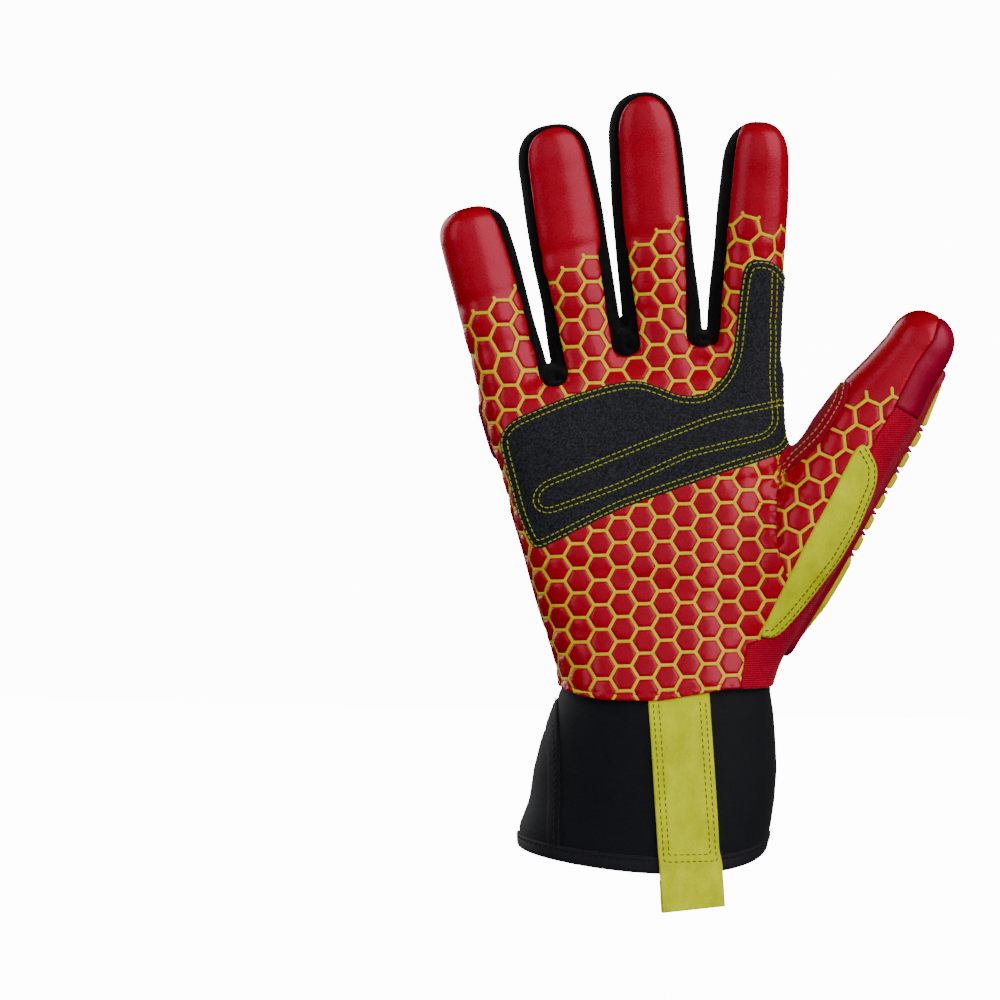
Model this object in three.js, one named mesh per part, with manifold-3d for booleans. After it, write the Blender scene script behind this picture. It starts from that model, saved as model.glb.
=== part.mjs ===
// A cut-resistant work glove for the right hand, filled out as it is worn.
// Millimetres. +Z runs from the wrist to the fingertips, the palm faces -Y and the thumb is at +X.
// The origin is the middle of the cuff's mouth.

import * as THREE from 'three';
import { mergeVertices } from 'three/addons/utils/BufferGeometryUtils.js';
import Module from 'manifold-3d';

const wasm = await Module();
wasm.setup();

// Walls and clearances
const GAP = 0.3;
const WALL = 2.0;
const SKIN = 0.9;
const CUFF_WALL = 3.0;
const BINDING = 1.1;
const PATCH_THICKNESS = 0.54;
const TAB_THICKNESS = 1.7;

// The hand
const CUFF_LENGTH = 52;
const CUFF_WIDTH = 86;
const CUFF_DEPTH = 58;
const PALM_LENGTH = 114;
const PALM_WIDTH = 98;
const PALM_DEPTH = 42;
const CURL_START = 0.86;
const FINGER_LENGTH = 93.6;
const FINGER_WIDTH = 27.4;
const FINGER_DEPTH = 23;
const THUMB_LENGTH = 137;
const THUMB_WIDTH = 34;
const THUMB_DEPTH = 30;

// The hand's natural pose: its back is arched from side to side and the fingers curl to the palm
const ARCH = 6;
const CURL = 14;
const CURL_REACH = 100;
const ARCH_START = 0;
const ARCH_FULL = 0.5;

// The moulded guards on the back
const GUARD_BASE = 1.5;
const PAD_HEIGHT = 2.9;
const NOTCH_FLOOR = 0.9;
const GUARD_START = 10;
const GUARD_LENGTH = 59;
const GUARD_WIDTH = 57;
const GUARD_FLARE = 0.3;
const GUARD_EDGE = 29;
const GUARD_SLANT = 1;
const GUARD_CURVE = 0.22;
const GUARD_WRAP = 8;
const SIDE_BLOCK_WRAP = 10;
const STRIP_WRAP = 3;
const STRIP_WIDTH = 14.3;
const BLOCK_WIDTH = 11;
const BLOCK_PITCH = 6.9;
const NOTCH_WIDTH = 1.9;
const FIRST_PAD = 23;
const THUMB_PITCH = 9;
const THUMB_PAD = 38;
const THUMB_TURN = 10;
const PAD_MARGIN = 1.5;
const STRIP_END = 0.97;
const BLOCKS_END = 0.93;

// Cuff trim
const MOUTH = 0.05;
const MOUTH_DIP = 8;
const SHOULDER = 0.93;
const BINDING_HEIGHT = 3.2;
const BAND_HEIGHT = 6.5;
const LABEL_WIDTH = 46;
const LABEL_HEIGHT = 37;
const LABEL_BOTTOM = 7;
const LABEL_X = -13;
const LABEL_SHOULDER = 0.72;
const PATCH_WIDTH = 39.6;
const PATCH_FACE = { bottom: 0.42, shoulder: 0.69, point: 0.92 };
const TAB_STATIONS = 5;
const TAB_WIDTH = 21;
const TAB_X = 12.5;
const TAB_LEAN = 3.2;
const TAB_BELOW = 21;
const TAB_STEP = 0.5;
const TAB_RAMP = 2.6;
const SIDE_STRIP_FRONT = 7;
const SIDE_STRIP_BACK = 4;
const SIDE_STRIP_START = -0.15;
const PALM_WRAP = 2;
const WEB_WRAP = 4;
const CUFF_WRAP = 3;

const HAND_SIDES = 22;
const FINGER_SIDES = 12;
const LINING_SIDES = 8;
const FAR = 150;
const PAST_TIP = 1.3;

// Palm sections. up is a share of the palm's length above the hem, left and right are shares of its
// width from the middle line, deep is half the thickness as a share of its depth.
const palmRows = [
  { up: 0.0, left: -0.285, right: 0.443, deep: 0.583 },
  { up: 0.096, left: -0.295, right: 0.444, deep: 0.548 },
  { up: 0.228, left: -0.342, right: 0.454, deep: 0.524 },
  { up: 0.404, left: -0.403, right: 0.464, deep: 0.512 },
  { up: 0.588, left: -0.461, right: 0.48, deep: 0.488 },
  { up: 0.711, left: -0.5, right: 0.496, deep: 0.464 },
  { up: 0.86, left: -0.549, right: 0.493, deep: 0.393 },
  { up: 0.947, left: -0.577, right: 0.486, deep: 0.32 },
  { up: 1.0, left: -0.586, right: 0.478, deep: 0.214 },
];

// How far the hem hangs lower on the palm side and rises on the back
const HEM_FRONT = -2;
const HEM_BACK = 5;

// Cuff sections. up is a share of the cuff's length, left and right are shares of its width, deep is
// half the thickness as a share of its depth, front and back shift the ring's two faces up, in mm.
const dipped = (front, back) => ({ front: front * MOUTH_DIP, back: back * MOUTH_DIP });
const cuffRows = [
  { up: MOUTH, left: -0.484, right: 0.484, deep: 0.5, ...dipped(-1, -0.375) },
  { up: 0.15, left: -0.49, right: 0.5, deep: 0.5, ...dipped(-0.75, -0.25) },
  { up: 0.33, left: -0.452, right: 0.517, deep: 0.483, ...dipped(-0.5, 0) },
  { up: 0.52, left: -0.435, right: 0.525, deep: 0.466, ...dipped(-0.375, 0.125) },
  { up: 0.72, left: -0.399, right: 0.514, deep: 0.448, ...dipped(-0.25, 0.375) },
  { up: SHOULDER, left: -0.352, right: 0.502, deep: 0.431, front: HEM_FRONT, back: HEM_BACK },
];
const mouth = cuffRows[0];

// The fingers. across and up place the root as shares of the palm's width and length, lean is in degrees
// towards the thumb, long, wide and deep are shares of the middle finger's sizes, and guard and cap are
// shares of the finger's own length where its guard and its tip's cap start.
const fingerPlaces = [
  { name: 'little', across: -0.449, up: 0.947, lean: -14.8, long: 0.657, wide: 0.898, deep: 0.935,
    guard: 0.0, cap: 0.74, blocks: 3 },
  { name: 'ring', across: -0.182, up: 0.991, lean: -10.5, long: 0.894, wide: 0.942, deep: 0.978,
    guard: 0.04, cap: 0.77, blocks: 5 },
  { name: 'middle', across: 0.083, up: 0.991, lean: -6.2, long: 1, wide: 1, deep: 1,
    guard: 0.08, cap: 0.79, blocks: 6 },
  { name: 'index', across: 0.346, up: 0.974, lean: 3.5, long: 0.908, wide: 0.949, deep: 0.978,
    guard: 0.08, cap: 0.77, blocks: 5 },
];
const digits = fingerPlaces.map(({ long, wide, deep, ...place }) => ({
  ...place, length: long * FINGER_LENGTH, width: wide * FINGER_WIDTH, depth: deep * FINGER_DEPTH,
}));
const thumb = {
  name: 'thumb', across: 0.316, up: 0.096, lean: 28.9, guard: 0.06, cap: 0.75, blocks: 6,
  length: THUMB_LENGTH, width: THUMB_WIDTH, depth: THUMB_DEPTH,
};

// Digit sections. along is a share of the length, wide and deep are shares of the digit's sizes, and
// forward moves the section to the palm side, as a share of the depth.
const fingerRows = [
  { along: -0.32, wide: 0.8, deep: 0.7, forward: 0 },
  { along: 0.0, wide: 1.0, deep: 1.0, forward: 0 },
  { along: 0.2, wide: 0.985, deep: 0.97, forward: 0 },
  { along: 0.42, wide: 1.0, deep: 0.98, forward: 0 },
  { along: 0.62, wide: 0.97, deep: 0.94, forward: 0 },
  { along: 0.8, wide: 0.93, deep: 0.91, forward: 0 },
];
const thumbRows = [
  { along: 0.0, wide: 0.74, deep: 0.7, forward: 0.04 },
  { along: 0.13, wide: 0.9, deep: 0.96, forward: 0.12 },
  { along: 0.3, wide: 1.0, deep: 1.06, forward: 0.16 },
  { along: 0.39, wide: 1.01, deep: 1.04, forward: 0.165 },
  { along: 0.475, wide: 1.0, deep: 1.0, forward: 0.16 },
  { along: 0.635, wide: 0.98, deep: 0.88, forward: 0.12 },
  { along: 0.74, wide: 0.9, deep: 0.8, forward: 0.1 },
  { along: 0.83, wide: 0.77, deep: 0.74, forward: 0.08 },
  { along: 0.9, wide: 0.72, deep: 0.68, forward: 0.07 },
];
const TIP_RINGS = 3;
const TIP_BLUNTNESS = 0.93;
const PALM_SQUARENESS = 2.5;
const palmMiddle = { atHem: 0.08, lean: -0.127 };

// Flat outlines of the sewn-on pieces, seen from the palm: across and up as shares of the palm's sizes
const palmPatch = [
  [-0.5, 0.773], [-0.463, 0.825], [-0.29, 0.887], [-0.15, 0.926], [-0.035, 0.946], [0.042, 0.93],
  [0.128, 0.898], [0.215, 0.9], [0.281, 0.955], [0.312, 1.02], [0.323, 1.125], [0.34, 1.263],
  [0.364, 1.303], [0.53, 1.3], [0.53, 0.8], [0.505, 0.73], [0.267, 0.665], [-0.08, 0.56],
  [-0.34, 0.445], [-0.378, 0.44], [-0.427, 0.53],
];
const thumbPatch = [
  [0.722, 0.737], [0.635, 0.59], [0.555, 0.465], [0.486, 0.341], [0.42, 0.228], [0.395, 0.18],
  [0.458, 0.178], [0.513, 0.228], [0.579, 0.3], [0.67, 0.407], [0.739, 0.51], [0.798, 0.633],
  [0.801, 0.693], [0.756, 0.761],
];
const webPatch = [
  [0.35, 0.86], [0.36, 0.69], [0.45, 0.63], [0.54, 0.62], [0.62, 0.65], [0.7, 0.72], [0.76, 0.8],
  [0.8, 0.88], [0.8, 0.94], [0.74, 0.98], [0.6, 0.92], [0.5, 0.86],
];
// The line along the thumb where the leather front meets the knitted back, from the tip to the wrist
const leatherEdge = [
  [1.06, 1.25], [1.027, 1.14], [0.996, 1.06], [0.937, 0.988], [0.86, 0.856], [0.795, 0.767],
  [0.724, 0.614], [0.633, 0.421], [0.513, 0.254], [0.429, 0.179], [0.357, 0.155], [0.33, 0.0], [0.33, -0.3],
];
const innerStrip = [
  [0.74, 0.97], [0.69, 0.886], [0.61, 0.796], [0.55, 0.725], [0.5, 0.66], [0.4, 0.72], [0.56, 1.02],
];

// The back guard's outlines. s runs from the guard's wrist end to its knuckle end, t from its thumb edge
// round to the little finger's side.
const guardOutline = [
  [0.0, 0.0], [1.0, 0.0], [0.935, 0.64], [0.93, 0.98], [0.95, 1.12], [0.2, 1.12], [0.24, 0.8], [0.1, 0.3],
];
const guardWindow = [
  [0.46, 0.63], [0.51, 0.58], [0.72, 0.59], [0.74, 0.66], [0.64, 0.69], [0.52, 0.67],
];
const guardPads = [
  { name: 'pad_wrist', outline: [[0.24, 0.66], [0.05, 0.03], [0.42, 0.03], [0.42, 0.2], [0.28, 0.47]] },
  { name: 'pad_inner', outline: [[0.31, 0.56], [0.43, 0.3], [0.5, 0.5], [0.42, 0.62]] },
  { name: 'pad_middle',
    outline: [[0.53, 0.54], [0.46, 0.29], [0.51, 0.29], [0.62, 0.35], [0.78, 0.31], [0.69, 0.55]] },
  { name: 'pad_point', outline: [[0.78, 0.65], [0.73, 0.55], [0.82, 0.36], [0.9, 0.61]] },
  { name: 'pad_thumb', outline: [[0.48, 0.2], [0.48, 0.03], [0.72, 0.04], [0.71, 0.25], [0.64, 0.3]] },
  { name: 'pad_knuckle',
    outline: [[0.92, 0.5], [0.86, 0.29], [0.78, 0.26], [0.77, 0.04], [0.96, 0.04]] },
];
const guardBars = [
  { from: 0.3, to: 0.39, inner: 0.72 },
  { from: 0.42, to: 0.51, inner: 0.7 },
  { from: 0.55, to: 0.65, inner: 0.72 },
  { from: 0.69, to: 0.8, inner: 0.73 },
  { from: 0.83, to: 0.915, inner: 0.68 },
];
const barEnds = { point: 0.04, outer: 0.87 };
const sideBlockEnds = { inner: 0.9, outer: 1.1 };
const sideBlocks = [
  { from: 0.26, to: 0.4 },
  { from: 0.45, to: 0.6 },
  { from: 0.64, to: 0.76 },
  { from: 0.8, to: 0.91 },
];
const knuckleOutline = [
  [1.21, 1.13], [1.12, 0.8], [1.14, 0.3], [1.38, 0.06], [1.62, 0.24], [1.655, 0.9], [1.5, 1.13],
];
const KNUCKLE_BARS = 5;
const knuckleBars = { low: 1.25, high: 1.5, first: 0.22, last: 1.05, filled: 0.8 };

const hem = { front: HEM_FRONT, back: HEM_BACK };
const cuffZ = (up) => up * CUFF_LENGTH;
const palmX = (across) => across * PALM_WIDTH;
const palmZ = (up) => CUFF_LENGTH + up * PALM_LENGTH;
const palmOutline = (points) => points.map(([across, up]) => [palmX(across), palmZ(up)]);

function guardPoint([s, t]) {
  const width = GUARD_WIDTH * (1 + GUARD_FLARE * s);
  const round = t + GUARD_CURVE * (t * t - t);
  return [GUARD_EDGE + s * GUARD_SLANT - width * round, CUFF_LENGTH + GUARD_START + s * GUARD_LENGTH];
}

// Solids

function solid(geometry) {
  const bare = geometry.clone();
  bare.deleteAttribute('normal');
  bare.deleteAttribute('uv');
  const merged = mergeVertices(bare, 1e-5);
  return new wasm.Manifold(new wasm.Mesh({
    numProp: 3,
    vertProperties: new Float32Array(merged.attributes.position.array),
    triVerts: new Uint32Array(merged.index.array),
  }));
}

// The wall from each ring of points to the next, with the rings counter-clockwise about the way they go
function wallFaces(ringCount, count, around) {
  const faces = [];
  for (let row = 0; row < (around ? ringCount : ringCount - 1); row++) {
    const low = row * count;
    const high = ((row + 1) % ringCount) * count;
    for (let side = 0; side < count; side++) {
      const next = (side + 1) % count;
      faces.push(low + side, low + next, high + next, low + side, high + next, high + side);
    }
  }
  return faces;
}

function fromFaces(points, faces) {
  const geometry = new THREE.BufferGeometry().setFromPoints(points);
  geometry.setIndex(faces);
  return solid(geometry);
}

// A closed body through rings, with a cap at each end
function loft(rings) {
  const count = rings[0].length;
  const centre = (ring) => ring
    .reduce((sum, p) => sum.add(p), new THREE.Vector3())
    .divideScalar(count);
  const faces = wallFaces(rings.length, count, false);
  const firstCentre = rings.length * count;
  const last = firstCentre - count;
  for (let side = 0; side < count; side++) {
    const next = (side + 1) % count;
    faces.push(firstCentre, next, side, firstCentre + 1, last + side, last + next);
  }
  return fromFaces([...rings.flat(), centre(rings[0]), centre(rings.at(-1))], faces);
}

// A body with a hole through it: the rings go up its outside and come back down its inside
const sleeve = (outer, inner) => {
  const rings = [...outer, ...inner.toReversed()];
  return fromFaces(rings.flat(), wallFaces(rings.length, rings[0].length, true));
};

// An outline of [a, b] points, raised along b's and a's common normal
function plate(outline, height) {
  const shape = new THREE.Shape(outline.map(([a, b]) => new THREE.Vector2(a, b)));
  return new THREE.ExtrudeGeometry(shape, { depth: height, bevelEnabled: false });
}

// An outline in X and Z that runs through Y from low to high
function prism(outline, low, high) {
  const turn = new THREE.Matrix4().makeBasis(
    new THREE.Vector3(1, 0, 0), new THREE.Vector3(0, 0, 1), new THREE.Vector3(0, -1, 0));
  turn.setPosition(0, high, 0);
  return solid(plate(outline, high - low).applyMatrix4(turn));
}

const area = (outline) => outline.reduce((sum, [a, b], i) => {
  const [c, d] = outline[(i + 1) % outline.length];
  return sum + a * d - c * b;
}, 0) / 2;

// The same outline with each edge moved outwards
function grown(outline, by) {
  const step = by * Math.sign(area(outline));
  const edges = outline.map(([a, b], i) => {
    const [c, d] = outline[(i + 1) % outline.length];
    const length = Math.hypot(c - a, d - b);
    const out = [(d - b) / length, (a - c) / length];
    return { a: a + out[0] * step, b: b + out[1] * step, along: [c - a, d - b] };
  });
  return edges.map((edge, i) => {
    const before = edges.at(i - 1);
    const cross = before.along[0] * edge.along[1] - before.along[1] * edge.along[0];
    const share = ((edge.a - before.a) * edge.along[1] - (edge.b - before.b) * edge.along[0]) / cross;
    return [before.a + before.along[0] * share, before.b + before.along[1] * share];
  });
}

// Sections

function levelRing(row, width, depth, z, grow, power, sides) {
  const left = row.left * width - grow;
  const right = row.right * width + grow;
  const deep = row.deep * depth + grow;
  const ring = [];
  for (let side = 0; side < sides; side++) {
    const angle = (side / sides) * 2 * Math.PI;
    const bend = (value) => Math.sign(value) * Math.abs(value) ** (2 / power);
    const across = bend(Math.cos(angle));
    const back = bend(Math.sin(angle));
    const shift = back < 0 ? -back * (row.front ?? 0) : back * (row.back ?? 0);
    ring.push(new THREE.Vector3(
      (left + right) / 2 + across * (right - left) / 2, back * deep, z + shift));
  }
  return ring;
}

function between(rows, key, value) {
  const after = Math.max(1, rows.findIndex((row) => row[key] >= value));
  const [low, high] = [rows[after - 1], rows[after]];
  const share = (value - low[key]) / (high[key] - low[key]);
  const row = {};
  for (const name of Object.keys(low)) row[name] = low[name] + (high[name] - low[name]) * share;
  return row;
}

const palmRing = (row, z, grow) =>
  levelRing(row, PALM_WIDTH, PALM_DEPTH, z, grow, PALM_SQUARENESS, HAND_SIDES);

// The palm, swollen by grow and carried on below its hem by drop
function palmBody(grow, drop) {
  const [first, top] = [{ ...palmRows[0], ...hem }, palmRows.at(-1)];
  const rings = palmRows.slice(1, -1).map((row) => palmRing(row, palmZ(row.up), grow));
  rings.unshift(palmRing(first, palmZ(0), grow));
  if (drop > 0) rings.unshift(palmRing(first, palmZ(0) - drop, grow));
  rings.push(palmRing(top, palmZ(top.up) + grow, grow));
  rings.push(palmRing({ ...top, deep: top.deep / 2 }, palmZ(top.up) + grow + WALL, grow));
  return loft(rings);
}

// A digit's own directions: along it, to its thumb side, and where it starts
function digitFrame(digit) {
  const lean = THREE.MathUtils.degToRad(digit.lean);
  return {
    root: new THREE.Vector3(palmX(digit.across), 0, palmZ(digit.up)),
    along: new THREE.Vector3(Math.sin(lean), 0, Math.cos(lean)),
    side: new THREE.Vector3(Math.cos(lean), 0, -Math.sin(lean)),
    back: new THREE.Vector3(0, 1, 0),
  };
}

const pointOn = (frame, along, side, back) => frame.root.clone()
  .addScaledVector(frame.along, along)
  .addScaledVector(frame.side, side)
  .addScaledVector(frame.back, back);

// A digit's body, swollen by grow. Its inside, which only the hand meets, has fewer facets.
function digitBody(digit, grow) {
  const lining = grow < 0;
  const allRows = digit === thumb ? thumbRows : fingerRows;
  const last = allRows.at(-1);
  const rows = allRows.filter((row, i) => !lining || i % 2 === 0 || row === last);
  const frame = digitFrame(digit);
  const sides = lining ? LINING_SIDES : FINGER_SIDES;
  const tipRings = lining ? TIP_RINGS - 1 : TIP_RINGS;
  const ring = (row, along, scale) => {
    const points = [];
    for (let side = 0; side < sides; side++) {
      const angle = (side / sides) * 2 * Math.PI;
      points.push(pointOn(frame, along,
        Math.cos(angle) * (row.wide * digit.width / 2 + grow) * scale,
        Math.sin(angle) * (row.deep * digit.depth / 2 + grow) * scale - row.forward * digit.depth));
    }
    return points;
  };
  const rings = rows.map((row) => ring(row, row.along * digit.length, 1));
  const domeStart = last.along * digit.length;
  const domeLength = digit.length + grow - domeStart;
  for (let step = 1; step <= tipRings; step++) {
    const angle = (step / tipRings) * Math.PI / 2 * TIP_BLUNTNESS;
    rings.push(ring(last, domeStart + Math.sin(angle) * domeLength, Math.cos(angle)));
  }
  return loft(rings);
}

// The whole hand, swollen by grow
const handCache = new Map();
function hand(grow, drop = 0) {
  const key = `${grow} ${drop}`;
  if (!handCache.has(key)) {
    let body = palmBody(grow, drop);
    for (const digit of [thumb, ...digits]) body = body.add(digitBody(digit, grow));
    handCache.set(key, body);
  }
  return handCache.get(key);
}

// A skin over the hand between two heights above its surface
const skin = (low, high) => hand(high).subtract(hand(low, 1));

// A flat outline on a digit, [side, along] in mm, standing outwards along out
function digitPrism(digit, outline, out, low, high) {
  const frame = digitFrame(digit);
  const turn = new THREE.Matrix4().makeBasis(
    new THREE.Vector3().crossVectors(frame.along, out), frame.along, out);
  turn.setPosition(frame.root.clone().addScaledVector(out, low));
  return solid(plate(outline, high - low).applyMatrix4(turn));
}

const rectangle = (left, bottom, right, top) => [
  [left, bottom], [right, bottom], [right, top], [left, top],
];

// The shell of the hand and its panels

const shell = hand(0).subtract(hand(-WALL, FAR / 10));
const wideOutline = rectangle(-FAR, -FAR, FAR, 3 * FAR);
const knitSide = [...palmOutline(leatherEdge), [FAR, 0], [FAR, 2 * FAR]];
const knitInner = palmOutline(innerStrip);

// The knitted back reaches round the thumb, past the line that the leather is sewn to
function backRegion(by) {
  return prism(wideOutline, -by, FAR)
    .add(prism(grown(knitSide, by), -FAR, FAR))
    .add(prism(grown(knitInner, by), -FAR, FAR));
}

// The strip between two fingers: the space between their middle lines, near the middle of their depth
function stripRegion(first, second, by) {
  const outline = [];
  const left = digitFrame(first);
  const right = digitFrame(second);
  const corner = (frame, along, shift) => {
    const point = pointOn(frame, along, shift, 0);
    return [point.x, point.z];
  };
  outline.push(corner(left, SIDE_STRIP_START * first.length, GAP / 2 - by));
  outline.push(corner(left, PAST_TIP * first.length, GAP / 2 - by));
  outline.push(corner(right, PAST_TIP * second.length, by - GAP / 2));
  outline.push(corner(right, SIDE_STRIP_START * second.length, by - GAP / 2));
  return prism(outline, -SIDE_STRIP_FRONT - by, SIDE_STRIP_BACK + by);
}

function capRegion(digit, by) {
  const half = digit.width / 2 + by;
  const outline = rectangle(-half, digit.cap * digit.length - by, half, PAST_TIP * digit.length);
  return digitPrism(digit, outline, new THREE.Vector3(0, 1, 0), -FAR, FAR);
}

const pairs = [[digits[0], digits[1]], [digits[1], digits[2]], [digits[2], digits[3]]];
const allStrips = pairs
  .map(([first, second]) => stripRegion(first, second, 2 * GAP))
  .reduce((sum, strip) => sum.add(strip));

const palmPanel = shell.subtract(backRegion(GAP)).subtract(allStrips);
const backShell = shell.intersect(backRegion(0)).subtract(allStrips);
const allCaps = [...digits, thumb]
  .map((digit) => capRegion(digit, GAP))
  .reduce((sum, cap) => sum.add(cap));
const backPanel = backShell.subtract(allCaps);
const tipCap = (digit) => backShell.intersect(capRegion(digit, 0));
const fourchette = ([first, second]) => shell.intersect(stripRegion(first, second, 0));

// The thumb's guard faces away from the palm's side, the fingers' guards face straight back
function outward(digit) {
  const frame = digitFrame(digit);
  if (digit !== thumb) return frame.back;
  const turn = THREE.MathUtils.degToRad(THUMB_TURN);
  return frame.side.multiplyScalar(Math.cos(turn)).addScaledVector(frame.back, Math.sin(turn));
}

// The room that a digit's guard takes up, swollen by a clearance
function guardRegion(digit, by) {
  const half = STRIP_WIDTH / 2 + by;
  const outline = rectangle(
    -half, digit.guard * digit.length - by, half, STRIP_END * digit.length + by);
  return digitPrism(digit, outline, outward(digit), STRIP_WRAP - by, FAR);
}

// The sewn-on patches

const patchSkin = skin(GAP, GAP + SKIN);
const onPalm = (outline) => prism(palmOutline(outline), -FAR, PALM_WRAP);
const palmPatchSolid = patchSkin.intersect(onPalm(palmPatch));
const besideThumbGuard = patchSkin.subtract(guardRegion(thumb, GAP));
const thumbPatchSolid = besideThumbGuard.intersect(onPalm(thumbPatch));
const webPatchSolid = besideThumbGuard.intersect(prism(palmOutline(webPatch), WEB_WRAP, FAR));

// The guards

const baseTop = GAP + GUARD_BASE;
const padBottom = baseTop + GAP;
const padTop = padBottom + PAD_HEIGHT;
const baseSkin = skin(GAP, baseTop);
const padSkin = skin(padBottom, padTop);
const onBack = (outline, from = GUARD_WRAP) => prism(outline.map(guardPoint), from, FAR);

const handGuard = baseSkin.intersect(onBack(guardOutline)).subtract(onBack(guardWindow));
const knuckleGuard = baseSkin.intersect(onBack(knuckleOutline));
const guardPad = (outline) => padSkin.intersect(onBack(outline, SIDE_BLOCK_WRAP));
const barOutline = ({ from, to, inner }) => [
  [from, inner + barEnds.point], [from, barEnds.outer], [to, barEnds.outer],
  [to, inner + barEnds.point], [(from + to) / 2, inner],
];
const sideOutline = ({ from, to }) => [
  [from, sideBlockEnds.inner], [from, sideBlockEnds.outer],
  [to, sideBlockEnds.outer], [to, sideBlockEnds.inner],
];

function knuckleBar(index) {
  const { low, high, first, last, filled } = knuckleBars;
  const step = (last - first) / KNUCKLE_BARS;
  const from = first + index * step;
  const to = from + step * filled;
  return guardPad([[low, from], [low, to], [high, to], [high, from]]);
}

const digitGuard = (digit) => baseSkin.intersect(guardRegion(digit, 0));

// One raised strip, cut across into a long first pad, a row of blocks and a tip piece
function digitBlocks(digit) {
  const half = BLOCK_WIDTH / 2;
  const start = digit.guard * digit.length + PAD_MARGIN;
  const pitch = digit === thumb ? THUMB_PITCH : BLOCK_PITCH;
  const firstNotch = start + (digit === thumb ? THUMB_PAD : FIRST_PAD);
  const standing = (outline) => digitPrism(digit, outline, outward(digit), STRIP_WRAP, FAR);
  const wholeStrip = rectangle(-half, start, half, BLOCKS_END * digit.length);
  let strip = padSkin.intersect(standing(wholeStrip));
  for (let block = 0; block <= digit.blocks; block++) {
    const from = firstNotch + block * pitch;
    const notch = standing(rectangle(-2 * half, from, 2 * half, from + NOTCH_WIDTH));
    strip = strip.subtract(notch.subtract(hand(padBottom + NOTCH_FLOOR)));
  }
  return strip;
}

// The cuff

const cuffRing = (row, grow) =>
  levelRing(row, CUFF_WIDTH, CUFF_DEPTH, cuffZ(row.up), grow, 2, HAND_SIDES);

// The cuff's rings between two heights, swollen by grow
function cuffRings(grow, from = MOUTH, to = SHOULDER) {
  const rows = [between(cuffRows, 'up', from)];
  rows.push(...cuffRows.filter((row) => row.up > from && row.up < to));
  rows.push(between(cuffRows, 'up', to));
  return rows.map((row) => cuffRing(row, grow));
}

// The cuff's upper end narrows and goes inside the hand's hem, as far as the palm's second section
function tuckRings(grow) {
  const inside = grow - WALL - GAP;
  return [
    palmRing({ ...palmRows[0], ...hem }, palmZ(0) - 2 * GAP, inside),
    palmRing(palmRows[1], palmZ(palmRows[1].up), inside),
  ];
}

// Rings with both ends carried on, for a body that cuts through another
function lengthened(rings, below, above = below) {
  const moved = (ring, by) => ring.map((point) => new THREE.Vector3(point.x, point.y, point.z + by));
  return [moved(rings[0], -below), ...rings, moved(rings.at(-1), above)];
}

const cuffWall = (grow) => [...cuffRings(grow), ...tuckRings(grow)];
const cuff = sleeve(cuffWall(0), cuffWall(-CUFF_WALL));

// The binding is folded over the mouth's edge, inside and out
const bindingTop = MOUTH + BINDING_HEIGHT / CUFF_LENGTH;
const mouthRing = (grow, up) => cuffRing(between(cuffRows, 'up', up), grow);
const bindingLow = MOUTH - (GAP + BINDING) / CUFF_LENGTH;
const slotLow = MOUTH - GAP / CUFF_LENGTH;
const binding = sleeve([
  mouthRing(GAP + BINDING, bindingLow),
  mouthRing(GAP + BINDING, bindingTop),
  mouthRing(GAP, bindingTop),
  mouthRing(GAP, slotLow),
], [
  mouthRing(-CUFF_WALL - GAP - BINDING, bindingLow),
  mouthRing(-CUFF_WALL - GAP - BINDING, bindingTop),
  mouthRing(-CUFF_WALL - GAP, bindingTop),
  mouthRing(-CUFF_WALL - GAP, slotLow),
]);

const backHalf = prism(wideOutline, CUFF_WRAP, FAR);
const onCuff = (low, high) => loft(cuffRings(high)).subtract(loft(lengthened(cuffRings(low), 5)));

function bandRings(grow) {
  const low = { ...between(cuffRows, 'up', SHOULDER - BAND_HEIGHT / CUFF_LENGTH), ...hem };
  return [low, between(cuffRows, 'up', SHOULDER)].map((row) => cuffRing(row, grow));
}
const reflectiveBand = loft(bandRings(GAP + SKIN)).subtract(loft(lengthened(bandRings(GAP), 5)))
  .intersect(backHalf);

// The label on the cuff's back is a five-sided panel, with a smaller five-sided patch on it
function labelOutline(width, bottom, shoulder, point) {
  const half = width / 2;
  return [
    [LABEL_X - half, bottom], [LABEL_X + half, bottom], [LABEL_X + half, shoulder],
    [LABEL_X, point], [LABEL_X - half, shoulder],
  ];
}
const onLabel = (share) => LABEL_BOTTOM + share * LABEL_HEIGHT;
const labelFace = labelOutline(LABEL_WIDTH, LABEL_BOTTOM, onLabel(LABEL_SHOULDER), onLabel(1));
const patchFace = labelOutline(PATCH_WIDTH, onLabel(PATCH_FACE.bottom), onLabel(PATCH_FACE.shoulder),
  onLabel(PATCH_FACE.point));
const labelTop = GAP + SKIN;
const cuffLabel = onCuff(GAP, labelTop).intersect(prism(labelFace, CUFF_WRAP, FAR));
const labelPatch = onCuff(labelTop + GAP, labelTop + GAP + PATCH_THICKNESS)
  .intersect(prism(patchFace, CUFF_WRAP, FAR));

// The pull tab is a strip down the palm side of the cuff. Past the mouth it is flat and two layers thick.
const tabLean = Math.tan(THREE.MathUtils.degToRad(TAB_LEAN));
function cuffFront(row, x) {
  const middle = (row.left + row.right) / 2 * CUFF_WIDTH;
  const half = (row.right - row.left) / 2 * CUFF_WIDTH;
  const deep = row.deep * CUFF_DEPTH;
  const share = Math.sqrt(1 - ((x - middle) / half) ** 2);
  const out = new THREE.Vector3((x - middle) / half ** 2, -share / deep, 0).normalize();
  return { point: new THREE.Vector3(x, -deep * share, cuffZ(row.up) + row.front * share), out };
}

const tabRing = (inner, outer) => [...outer, ...inner.toReversed()];

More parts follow.
